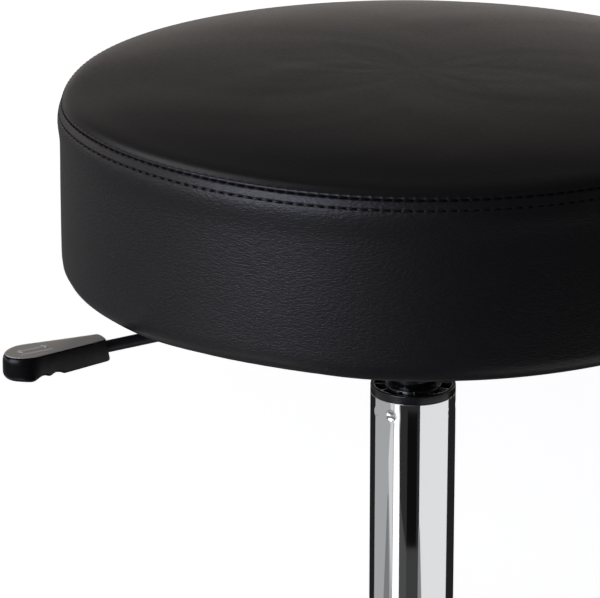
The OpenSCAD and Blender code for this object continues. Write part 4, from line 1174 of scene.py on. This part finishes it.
def foil_inlay(s):
    """Foil on top of the grip: the grip's plan inside a black margin, with a low rounded edge."""
    outline = grip_outline(s)
    plan = from_above(inset_by(outline, s.foil_margin + s.foil_tip_margin * tip_fullness(outline)))
    steps = [(0, -s.foil_sunk), (0, 0.4 * s.foil_rise)]
    steps += [(inset * MM, s.foil_rise) for inset in (0.15, 1.0, 2.0, 3.0)]
    levels = [(inset, lambda flat, rise=rise: grip_top(s, flat) + rise) for inset, rise in steps]
    foil = set_back(s, slab(plan, levels))
    piece("grip_foil_inlay", [foil], grip_foil(s), "lever", ["grip_inlay"], 50)


def arrow_print(s):
    """Plain double arrow printed on the foil: two arrow heads on one bar, and a second bar beside it."""
    end, half = grip_span()[1], high("lever_grip")[1]
    middle, top = end - 1.6 * half, high("lever_grip")[2] + s.foil_rise
    head, shaft, reach = s.arrow_head, s.arrow_shaft, s.arrow_reach
    tip = [
        (reach, 0), (reach - head, head), (reach - head, shaft), (-reach + head, shaft),
        (-reach + head, head),
    ]
    double = np.array(tip + [(-x, -y) for x, y in tip])
    bar = np.array([(reach, -shaft), (reach, shaft), (-reach, shaft), (-reach, -shaft)])
    shells = []
    for outline, offset in ((double, s.arrow_side), (bar, -s.bar_side)):
        flat = (outline + [middle, offset]) * [-1, 1]
        levels = (top - 0.1 * MM, top + 0.05 * MM)
        shells.append(skin([np.column_stack([flat, np.full(len(flat), z)]) for z in levels]))
    ink = moulded("white_print", s.mark_colour, 0.5, 0.5 * MM, 0.01 * MM)
    piece("grip_arrow_print", shells, ink, "lever", (), 20)


def outer_tube(s):
    """Chromed tube: a long cylinder with a rounded rim, and round dimples where it is punched into the bush.
    A dimple is a bowl with a low raised ring, in a wide shallow draw. Its mark is a fainter bowl."""
    bottom, top, r = low("outer_tube")[2], high("outer_tube")[2], high("outer_tube")[0]
    wall, cut, taper_end, count = s.tube_wall, s.rim_round, high("base_hub")[2], 720
    fine_z = top - 2.4 * s.dimple_drop
    fine = graded(2.4 * s.dimple_drop - cut, (1.4 * s.dimple_drop,), 0.45 * MM, 3 * MM, 4 * MM, 40)
    angle = even_angles(count)
    rings = []
    for z in (bottom, taper_end, *np.linspace(taper_end + 2 * MM, fine_z, 12), *(fine_z + fine[1:])):
        dent = 0 * angle
        for k in range(2 * s.dimples):
            marked = k % 2
            centre = s.dimple_angle + (k // 2) * TURN / s.dimples - marked * s.mark_angle
            depth = s.mark_depth if marked else s.dimple_depth
            away = (angle - centre + math.pi) % TURN - math.pi
            apart = np.hypot(away * r, z - (top - s.dimple_drop)) / (s.dimple / 2)
            raised = 0.1 * depth * np.exp(-(((apart - 1.12) / 0.12) ** 2))
            draw = (1 - marked) * s.dimple_draw * np.exp(-((apart / 2) ** 2))
            dent = dent + depth * np.clip(1 - apart**2, 0, 1) ** 1.2 - raised + draw
        rings.append(around(r - max(0, taper_end - z) * TAPER - dent, angle, z))
    rim = eased([(r, top - cut), (r, top), (r - wall, top), (r - wall, top - 2 * cut)], cut, 6)[1:]
    rings += [circle(x, z, count) for x, z in rim]
    inside = [(r - wall, taper_end), (r - wall - (taper_end - bottom) * TAPER, bottom)]
    rings += [circle(x, z, count // 3) for x, z in inside]
    shell = skin(rings, closed=True)
    piece("chromed_outer_tube", [shell], bright_chrome(s), "base", ["outer_tube"], 50)


def guide_bush(s):
    """Guide bush: a flanged head with a rounded rim, a ring of pockets between ribs and an inner collar, on a
    long plain sleeve inside the tube."""
    rim_low, top, bottom = high("outer_tube")[2], high("guide_bush")[2], low("guide_bush")[2]
    r, bore, count = high("guide_bush")[0], s.bush_bore / 2, 720
    recess_in, recess_out = bore + s.bush_collar, r - s.bush_rim
    middle = (recess_in + recess_out) / 2
    angle = even_angles(count)
    away = np.abs((angle * s.bush_ribs / TURN + 0.5) % 1 - 0.5) * TURN / s.bush_ribs
    pocket = s.rib_drop + (s.bush_recess - s.rib_drop) * soft_step((away - s.bush_rib / 2 / middle) / 0.02)
    chamfer = 0.3 * MM
    head = eased([(r, rim_low + MM), (r, top), (recess_out + 0.5 * MM, top)], 0.9 * MM, 7)[1:]
    outside = [(r - chamfer, rim_low), (r, rim_low + chamfer), *head]
    rings = [circle(x, z, count) for x, z in outside]
    slope = ((0.2 * MM, 0.03), (0, 0.12), (-0.12 * MM, 0.9), (-0.25 * MM, 1))
    floor = [(recess_out + out, depth) for out, depth in slope] + [(middle, 1)]
    floor += [(recess_in - out, depth) for out, depth in slope[::-1]]
    rings += [around(radius, angle, top - depth * pocket) for radius, depth in floor]
    collar = eased([(recess_in - 0.5 * MM, top), (bore, top), (bore, top - 3 * MM)], 0.5 * MM, 5)[1:]
    rings += [circle(x, z, count) for x, z in collar]
    sleeve = r - s.bush_fit
    rings += [
        circle(x, z, count // 3) for x, z in ((bore, bottom), (sleeve, bottom), (sleeve, rim_low - 0.2 * MM))
    ]
    plastic = moulded("glossy_black_acetal", s.bush_colour, 0.24, 0.8 * MM, 0.02 * MM)
    piece(
        "guide_bush_sleeve", [skin(rings, closed=True)], plastic, "base", ["guide_bush"], 40
    )


def inner_cylinder(s):
    """Inner cylinder: a lacquered tube that closes to a shallow cone at its top."""
    bottom, top, r = low("inner_cylinder")[2], high("inner_cylinder")[2], high("inner_cylinder")[0]
    bore, hole, hole_low = s.cylinder_bore / 2, s.button_bore / 2, top - s.button_depth
    section = [
        (bore, bottom), (r, bottom), (r, top - s.cone), (r - s.cone * TAPER, top), (hole, top),
        (hole, hole_low), (bore, hole_low - 4 * MM),
    ]
    cuts = np.array([0.3, 0.8, 0, 0.8, 0.2, 0, 0]) * MM
    tube = lathe(eased(section, cuts, 4, True), 192, True)
    piece("inner_cylinder_tube", [tube], lacquer(s), "seat", ["inner_cylinder"], 30)


def hub(s, chrome):
    """Hub sleeve with rounded edges and a tapered bore."""
    bottom, top, r, bore = low("base_hub")[2], high("base_hub")[2], high("base_hub")[0], s.hub_bore / 2
    section = [(bore, bottom), (r, bottom), (r, top), (bore + s.hub_lean, top)]
    sleeve = lathe(eased(section, [0.3 * MM, s.hub_round, s.hub_round, 0.4 * MM], 6, True), 192, True)
    piece("base_hub_sleeve", [sleeve], chrome, "base", ["base_hub"], 30)


def leg_section(s, width, bottom, top):
    """Cross-section of a leg as (across, height) points: a round top on straight sides, open underneath, with
    rounded lower edges."""
    r, inner, foot = width / 2, width / 2 - s.leg_wall, bottom + 4 * MM
    arc = np.radians(np.linspace(0, 180, 25))
    spring = [0, top - r]
    outer = spring + r * np.stack([np.cos(arc), np.sin(arc)], 1)
    hollow = spring + inner * np.stack([np.cos(arc[::-1]), np.sin(arc[::-1])], 1)
    left = eased([(-r, foot), (-r, bottom), (-inner, bottom), (-inner, foot)], 1.1 * MM, 4)
    right = eased([(inner, foot), (inner, bottom), (r, bottom), (r, foot)], 1.1 * MM, 4)
    return np.concatenate([outer, left, hollow, right])


def leg(s, chrome, number):
    """One leg: its cross-section carried from the hub to the tip, growing lower and narrower on the way, and
    the eye for the caster's stem."""
    x, y, _ = JOINTS[f"caster_swivel_{number}"]["pos_m"]
    reach, r, stem = math.hypot(x, y), s.eye / 2, s.stem_hole / 2
    hub_low, root_top = low("base_hub")[2], high("base_hub")[2] - s.leg_top_drop
    tip_low = low(f"base_leg_{number}")[2]
    tip_top, hole_top = tip_low + s.leg_tip_height, tip_low + s.stem_depth
    start = high("base_hub")[0] - s.leg_root_in
    rings = []
    for place in np.linspace(start, reach - r + s.leg_root_in, 13):
        along = (place - start) / (reach - start)
        width = s.leg_root_width + (s.leg_tip_width - s.leg_root_width) * along
        section = leg_section(
            s, width, hub_low + (tip_low - hub_low) * along, root_top + (tip_top - root_top) * along
        )
        rings.append(np.column_stack([np.full(len(section), place), section]))
    section = [
        (stem, tip_low), (r, tip_low), (r, tip_top - s.eye_chamfer), (r - s.eye_chamfer, tip_top),
        (AXIS, tip_top), (AXIS, hole_top), (stem, hole_top),
    ]
    eye = lathe(eased(section, np.array([0.3, 1, 1.5, 1.5, 0, 0, 0]) * MM, 5, True), 96, True)
    turn = Matrix.Rotation(math.atan2(y, x), 4, "Z")
    shells = [moved(skin(rings), turn), moved(shifted(eye, (reach, 0, 0)), turn)]
    piece(f"base_leg_arm_{number}", shells, chrome, "base", [f"base_leg_{number}"], 40)


def bent_bar(inner, outer, half_width, lean, cut):
    """A bar of rectangular section with rounded edges, bent over the Y axis from one lean above the level to
    the same lean on the other side."""
    section = eased(
        [(-half_width, inner), (half_width, inner), (half_width, outer), (-half_width, outer)], cut, 5, True
    )
    angles = np.linspace(lean, math.pi - lean, 49)
    rings = [
        np.stack([section[:, 1] * math.cos(a), section[:, 0], section[:, 1] * math.sin(a)], 1)
        for a in angles
    ]
    return skin(rings)


def caster_hood(s, number, plastic, place, centre):
    """A caster's hood: a shell bent over both wheels, a web under it, the round body between the wheels and
    the swivel column."""
    wheel_r, wall, half = centre[2], s.hood_wall, s.hood_body / 2
    hood_r, body_r = wheel_r + 2 * wall, wheel_r - wall
    lean = math.asin(s.hood_skirt / hood_r)
    shell = bent_bar(hood_r - wall, hood_r, half + s.wheel_gap + s.wheel_width, lean, 0.9 * MM)
    web = bent_bar(hood_r - 3.2 * wall, hood_r - 0.5 * wall, half, lean, 0.6 * MM)
    flat = 2 * MM
    disc = eased([(flat, -half), (body_r, -half), (body_r, half), (flat, half)], 1.2 * MM)
    boss = across(lathe([(0, -half), *disc, (0, half)], 72))
    top, column_r, recess = high(f"caster_hood_{number}")[2], s.swivel / 2, s.swivel_hole / 2
    side = eased([(flat, s.swivel_low), (column_r, s.swivel_low), (column_r, top), (recess, top)], 0.8 * MM)
    floor = top - 4 * MM
    column = lathe([(0, s.swivel_low), *side, (recess, floor), (0, floor)], 64)
    shells = [moved(shifted(part, centre), place) for part in (shell, web, boss)] + [moved(column, place)]
    name = f"caster_hood_{number}"
    piece(f"caster_hood_shell_{number}", shells, plastic, f"caster_{number}", [name], 40)


def caster_wheel(s, wheel_r):
    """One wheel turned from its section, with its inner face at the origin: a rounded tread, a dished ring
    and a low cap on the outer face, and a hollow inner face."""
    width, dish, edge = s.wheel_width, s.wheel_dish, s.wheel_round
    rim, cap, bore, boss = wheel_r - s.wheel_rim, s.wheel_cap / 2, s.wheel_bore / 2, s.wheel_boss / 2
    inside = width - s.wheel_web
    bore_end = width - 3 * MM
    section = [
        (bore, bore_end), (bore, 0), (boss, 0), (boss, inside), (rim, inside), (rim, 0), (wheel_r, 0),
        (wheel_r, width), (rim + 1.2 * MM, width), (rim, width - dish), (cap, width - dish),
        (cap - MM, width - 0.2 * MM), (2 * MM, width),
    ]
    cuts = np.array([0.2, 0.3, 0.5, 0.8, 0.8, 0.5, 0, 0, 0.8, 0.8, 0.6, 1.2, 0]) * MM
    cuts[6:8] = edge
    return lathe([(0, bore_end), *eased(section, cuts, 4), (0, width)], 72)


def caster(s, number, plastic, tread):
    """One caster: a hood and two wheels, built round the swivel axis with the trail along +X, then turned."""
    swivel = np.array(JOINTS[f"caster_swivel_{number}"]["pos_m"])
    axle = np.array(JOINTS[f"left_wheel_spin_{number}"]["pos_m"])
    lateral = JOINTS[f"left_wheel_spin_{number}"]["axis"]
    turn = math.atan2(lateral[1], lateral[0]) - math.pi / 2
    place = Matrix.Translation((swivel[0], swivel[1], 0)) @ Matrix.Rotation(turn, 4, "Z")
    centre = (math.hypot(*(axle - swivel)[:2]), 0, axle[2])
    caster_hood(s, number, plastic, place, centre)
    points, faces = across(caster_wheel(s, axle[2]))
    points = points + [0, s.hood_body / 2 + s.wheel_gap, 0]
    for side, name in ((-1, "left"), (1, "right")):
        wheel = moved(shifted(outward((points * [1, side, 1], faces)), centre), place)
        node = f"wheel_{name}_{number}"
        piece(f"caster_{node}", [wheel], tread, f"{name}_wheel_{number}", [node], 35)


class StoolOperator:
    """What the stool's operators share."""

    bl_options = {"REGISTER", "UNDO"}


class STOOL_OT_upholstery(StoolOperator, Operator):
    """Builds the top panel, the side band, the seam's thread and the dust cover"""

    bl_idname = "stool.upholstery"
    bl_label = "Upholstery"

    def execute(self, context):
        cushion = context.scene.stool_cushion
        crown(cushion)
        side_band(cushion)
        seam_thread(cushion)
        dust_cover(cushion)
        return {"FINISHED"}


class STOOL_OT_gas_lift(StoolOperator, Operator):
    """Builds the chromed tube, the guide bush and the inner cylinder, and finishes the parts inside them"""

    bl_idname = "stool.gas_lift"
    bl_label = "Gas lift"

    def execute(self, context):
        column = context.scene.stool_column
        outer_tube(column)
        guide_bush(column)
        inner_cylinder(column)
        ground = plated("ground_bearing_steel", linear("#c4c6c9"), 0.22, 0.8 * MM, 0.02 * MM)
        dress(ground, "valve_button", "piston_rod", "retaining_clip", "tube_bottom_plate")
        dress(ground, "bearing_balls", "bearing_upper_washer", "bearing_lower_washer")
        sintered = plated("sintered_iron", linear("#8b8880"), 0.6, 0.5 * MM, 0.06 * MM)
        dress(sintered, "piston", "cylinder_end_cap")
        dress(plated("turned_brass", linear("#c2a25a"), 0.3, 0.6 * MM, 0.02 * MM), "valve_body")
        dress(moulded("black_rubber_stop", linear("#1d1d1e"), 0.75, 0.6 * MM, 0.08 * MM), "bump_stop")
        return {"FINISHED"}


class STOOL_OT_seat_plate(StoolOperator, Operator):
    """Builds the plate, screws, washers and taper socket under the seat, and finishes what holds the lever"""

    bl_idname = "stool.seat_plate"
    bl_label = "Seat plate"

    def execute(self, context):
        plate = context.scene.stool_seat_plate
        steel = powder_coat("black_powder_coat", plate.steel_colour)
        zinc = zinc_plate(context.scene.stool_base)
        seat_plate(plate, steel)
        plate_fasteners(plate, zinc)
        taper_socket(plate, steel)
        dress(steel, "lever_cradle")
        dress(zinc, "lever_pivot_pin", "pivot_clip", "tee_nuts", "cover_staples")
        dress(plywood(), "seat_board")
        return {"FINISHED"}


class STOOL_OT_lever(StoolOperator, Operator):
    """Builds the release lever: its rod, its grip, and the foil and the print on top of it"""

    bl_idname = "stool.lever"
    bl_label = "Release lever"

    def execute(self, context):
        lever = context.scene.stool_lever
        lever_rod(lever)
        lever_grip(lever)
        foil_inlay(lever)
        arrow_print(lever)
        return {"FINISHED"}


class STOOL_OT_base(StoolOperator, Operator):
    """Builds the hub, the legs and the casters"""

    bl_idname = "stool.base"
    bl_label = "Base and casters"

    def execute(self, context):
        base, chrome = context.scene.stool_base, bright_chrome(context.scene.stool_column)
        plastic = moulded("textured_black_nylon", base.plastic_colour, 0.42, 0.7 * MM, 0.05 * MM)
        tread = moulded("matt_black_nylon_wheel", base.tread_colour, 0.48, 0.9 * MM, 0.06 * MM)
        hub(base, chrome)
        for number in CASTERS:
            leg(base, chrome, number)
            caster(base, number, plastic, tread)
        dress(zinc_plate(base), "caster_stems", *(f"caster_axle_{number}" for number in CASTERS))
        return {"FINISHED"}


def camera_side(s):
    """Angle from +X of the side that the camera looks from."""
    return math.atan2(-math.cos(s.azimuth), math.sin(s.azimuth))


def direction(s, side, height):
    """Unit vector towards a place in the studio. side is the angle to the right of the camera's side and
    height the angle above the floor, both in degrees."""
    facing, height = camera_side(s) + math.radians(side), math.radians(height)
    return Vector(
        (math.cos(facing) * math.cos(height), math.sin(facing) * math.cos(height), math.sin(height))
    )


def stage_mesh(name, points, faces, material):
    """A mesh that belongs to the studio and not to the stool."""
    mesh = bpy.data.meshes.new(name)
    mesh.from_pydata(points, [], faces)
    mesh.materials.append(material)
    thing = placed(name, mesh)
    return thing


def floor_finish(s):
    """Pale paper floor. Seen by the camera it is lifted to white, and in reflections it is a painted
    reflection: a dim glow, lighter on the left, in place of the lit paper. From below it is clear."""
    material, tree = bare_material("pale_paper_floor")
    rays = add(tree, "ShaderNodeLightPath")
    spot = add(tree, "ShaderNodeTexCoord").outputs["Object"]
    paper = add(tree, "ShaderNodeBsdfDiffuse", {"Color": opaque(s.floor_colour)})
    distance = add(tree, "ShaderNodeVectorMath", {0: spot}, operation="LENGTH")
    far = add(
        tree, "ShaderNodeMapRange",
        {"Value": distance.outputs["Value"], "From Min": 0.8, "From Max": 2.6, "To Min": 0.8, "To Max": 1.0},
        interpolation_type="SMOOTHSTEP",
    )
    lift = add(tree, "ShaderNodeEmission", {"Color": (1, 1, 1, 1), "Strength": far.outputs[0]})
    seen = add(tree, "ShaderNodeAddShader", {0: paper.outputs[0], 1: lift.outputs[0]})
    # Painted reflection: glossy rays see a dim glow that fades from 0.18 on the left to 0.03 on the right,
    # instead of the lit paper
    aside = add(tree, "ShaderNodeVectorMath", {0: spot, 1: direction(s, 90, 0)}, operation="DOT_PRODUCT")
    fall = add(
        tree, "ShaderNodeMapRange",
        {
            "Value": aside.outputs["Value"], "From Min": -0.5, "From Max": 0.4, "To Min": 0.18,
            "To Max": 0.03,
        },
        interpolation_type="SMOOTHSTEP",
    )
    mirrored = add(tree, "ShaderNodeEmission", {"Color": (0.97, 0.98, 1, 1), "Strength": fall.outputs[0]})
    plain = add(
        tree, "ShaderNodeMixShader",
        {0: rays.outputs["Is Camera Ray"], 1: paper.outputs[0], 2: seen.outputs[0]},
    )
    above = add(
        tree, "ShaderNodeMixShader",
        {0: rays.outputs["Is Glossy Ray"], 1: plain.outputs[0], 2: mirrored.outputs[0]}
    )
    below = add(tree, "ShaderNodeNewGeometry").outputs["Backfacing"]
    clear = add(tree, "ShaderNodeBsdfTransparent")
    surface = add(tree, "ShaderNodeMixShader", {0: below, 1: above.outputs[0], 2: clear.outputs[0]})
    add(tree, "ShaderNodeOutputMaterial", {"Surface": surface.outputs[0]})
    return material


def cards(s):
    """Low reflector cards round the column, which only mirror surfaces see: glowing arcs with their own tones
    that paint the reflections of the studio and of the base in the tube, the darker cards being painted shade
    and the bright streaks and lines painted highlights. A row gives a card's name, its place in the stack
    from the front, its lower and its upper edge and its strength. An edge is a height in millimetres and two
    angles that run to the right from the camera's side, in degrees."""
    top = s.card_height / MM
    table = (
        ("card_dark_rear", 2, (2, -253.3, -122.2), (top, -253.3, -119.8), 0.018),
        ("card_grey_left", 2, (2, -122.2, -35.6), (top, -119.8, -35.6), 0.45),
        ("card_brown_front", 2, (2, -35.6, 17.3), (top, -35.6, 17.3), 0.03),
        ("card_pale_right", 2, (2, 17.3, 103.6), (top, 17.3, 106.7), 0.92),
        ("card_white_streak_low", 0, (2, -54.2, -34.9), (138, -52.4, -35.6), 1.5),
        ("card_white_streak_high", 0, (138, -52.4, -35.6), (top, -50.9, -39.7), 1.5),
        ("card_light_line", 0, (57, -57.0, -56.0), (151, -68.2, -54.0), 0.78),
        ("card_light_line_high", 0, (151, -68.2, -54.0), (top, -58.0, -54.0), 0.78),
        ("card_shadow_left", 1, (2, -88.4, -59.0), (126, -70.2, -67.2), 0.24),
        ("card_shadow_middle", 0, (2, -34.6, -15.3), (88, -34.6, -15.3), 0.085),
        ("card_shadow_corner", 0, (88, -34.6, -15.3), (126, -35.6, -33.6), 0.085),
        ("card_floor_middle", 0, (2, -15.3, 15.3), (90, -15.3, 15.3), 0.055),
        ("card_black_middle", 0, (90, -15.3, 10.2), (191, -15.3, 10.2), 0.005),
        ("card_shadow_right", 0, (2, 15.3, 30.8), (105, 15.3, 19.3), 0.27),
    )
    for name, behind, lower, upper, level in table:
        steps = max(2, int((lower[2] - lower[1]) / 4))
        edges = [
            around(
                s.card_radius + behind * s.card_gap,
                camera_side(s) + np.radians(np.linspace(first, last, steps + 1)), height * MM,
            )
            for height, first, last in (lower, upper)
        ]
        i = np.arange(steps)[:, None]
        faces = np.hstack([i, i + 1, i + steps + 2, i + steps + 1]).tolist()
        material, tree = bare_material(name)
        # Each card glows at its level: a painted reflection tone, painted shade or painted highlight, that
        # only mirror surfaces see
        glow = add(tree, "ShaderNodeEmission", {"Color": (1, 1, 1, 1), "Strength": level})
        add(tree, "ShaderNodeOutputMaterial", {"Surface": glow.outputs[0]})
        card = stage_mesh(name, np.concatenate(edges), faces, material)
        card.visible_camera = card.visible_diffuse = card.visible_shadow = card.visible_transmission = False
        card.visible_volume_scatter = False


def softbox(s, name, side, height, distance, size, power, tint):
    """Softbox that faces the stool from a side and a height in degrees and a distance in metres."""
    lamp = bpy.data.lights.new(name, "AREA")
    lamp.shape, lamp.size, lamp.size_y = "RECTANGLE", size[0], size[1]
    lamp.energy, lamp.color = power, linear(tint)
    thing = placed(name, lamp)
    towards = direction(s, side, height)
    thing.location = Vector((0, 0, s.lamp_target)) + distance * towards
    thing.rotation_euler = towards.to_track_quat("Z", "Y").to_euler()


def studio_world(s):
    """White where the camera sees it. For the lighting and for reflections, a dark room with a pale band
    along the horizon, in three soft patches behind and beside the stool."""
    world = bpy.data.worlds.new("studio")
    bpy.context.scene.world = world
    world.use_nodes = True
    tree = world.node_tree
    tree.nodes.clear()
    rays = add(tree, "ShaderNodeLightPath")
    spot = add(tree, "ShaderNodeTexCoord").outputs["Generated"]
    level = 0.0
    for side, strength in ((150, 1.35), (120, 0.34), (-90, 1.35)):
        towards = add(
            tree, "ShaderNodeVectorMath", {0: spot, 1: direction(s, side, 0)}, operation="DOT_PRODUCT"
        )
        patch = add(
            tree, "ShaderNodeMapRange",
            {"Value": towards.outputs["Value"], "From Min": math.cos(math.radians(75)), "To Max": strength},
            interpolation_type="SMOOTHSTEP",
        )
        level = add(tree, "ShaderNodeMath", {0: patch.outputs[0], 1: level}, operation="ADD").outputs[0]
    height = add(tree, "ShaderNodeSeparateXYZ", {0: spot}).outputs["Z"]
    band = add(
        tree, "ShaderNodeMapRange",
        {"Value": height, "From Max": math.sin(math.radians(17.6)), "To Min": 1.0, "To Max": 0.0},
        interpolation_type="SMOOTHSTEP",
    )
    dim = add(tree, "ShaderNodeMath", {0: level, 1: band.outputs[0], 2: 0.042}, operation="MULTIPLY_ADD")
    room = add(tree, "ShaderNodeBackground", {"Color": opaque(linear("#fff6f0")), "Strength": dim.outputs[0]})
    white = add(tree, "ShaderNodeBackground", {"Color": (1, 1, 1, 1), "Strength": 1.0})
    mix = add(
        tree, "ShaderNodeMixShader",
        {0: rays.outputs["Is Camera Ray"], 1: room.outputs[0], 2: white.outputs[0]},
    )
    add(tree, "ShaderNodeOutputWorld", {"Surface": mix.outputs[0]})


def camera(s):
    """The photograph's viewpoint: the aimed point on the column's axis lies at its pixel, at its distance
    along the view."""
    lens = bpy.data.cameras.new("camera")
    lens.sensor_width = s.sensor
    lens.lens = s.focal_pixels * s.sensor / s.picture_width
    lens.clip_start, lens.clip_end = 0.05, 60
    turn = (
        Matrix.Rotation(s.azimuth, 4, "Z")
        @ Matrix.Rotation(math.pi / 2 - s.pitch, 4, "X")
        @ Matrix.Rotation(s.roll, 4, "Z")
    )
    across_pixels, down_pixels = s.aim_x - s.picture_width / 2, s.aim_y - s.picture_height / 2
    ray = Vector((across_pixels / s.focal_pixels, -down_pixels / s.focal_pixels, -1))
    place = Vector((0, 0, s.aim_height)) - s.distance * (turn.to_3x3() @ ray)
    thing = placed("camera", lens)
    thing.matrix_world = Matrix.Translation(place) @ turn
    bpy.context.scene.camera = thing


class STOOL_OT_stage(StoolOperator, Operator):
    """Sets up the camera, the room, the floor, the reflector cards and the lamps"""

    bl_idname = "stool.stage"
    bl_label = "Stage"

    def execute(self, context):
        s = context.scene.stool_studio
        camera(s)
        studio_world(s)
        half = s.floor_size / 2
        corners = [(-half, -half, 0), (half, -half, 0), (half, half, 0), (-half, half, 0)]
        stage_mesh("floor", corners, [(0, 1, 2, 3)], floor_finish(s))
        cards(s)
        softbox(
            s, "key_softbox", side=-45, height=14, distance=2.2, size=(1.5, 0.86), power=24, tint="#e4e8ff"
        )
        softbox(
            s, "rear_softbox", side=-118, height=50, distance=2.4, size=(1.4, 1.1), power=9, tint="#f6f4f8"
        )
        context.scene.view_settings.view_transform = "Standard"
        return {"FINISHED"}


OPERATORS = (
    STOOL_OT_stage, STOOL_OT_upholstery, STOOL_OT_gas_lift, STOOL_OT_seat_plate, STOOL_OT_lever, STOOL_OT_base
)


class STOOL_PT_looks(Panel):
    """Lists the stool's operators"""

    bl_idname = "STOOL_PT_looks"
    bl_label = "Medical stool"
    bl_space_type = "VIEW_3D"
    bl_region_type = "UI"
    bl_category = "Stool"

    def draw(self, context):
        for operator in OPERATORS:
            self.layout.operator(operator.bl_idname)


def register():
    """Adds the settings, the operators and the panel to Blender."""
    for name, group in GROUPS.items():
        bpy.utils.register_class(group)
        setattr(bpy.types.Scene, name, PointerProperty(type=group))
    for operator in OPERATORS:
        bpy.utils.register_class(operator)
    bpy.utils.register_class(STOOL_PT_looks)


def unregister():
    """Takes away what register added."""
    bpy.utils.unregister_class(STOOL_PT_looks)
    for operator in reversed(OPERATORS):
        bpy.utils.unregister_class(operator)
    for name, group in reversed(GROUPS.items()):
        delattr(bpy.types.Scene, name)
        bpy.utils.unregister_class(group)


def main():
    """Builds the studio and the stool through the operators."""
    register()
    bpy.ops.stool.stage()
    bpy.ops.stool.upholstery()
    bpy.ops.stool.gas_lift()
    bpy.ops.stool.seat_plate()
    bpy.ops.stool.lever()
    bpy.ops.stool.base()


if __name__ == "__main__":
    main()
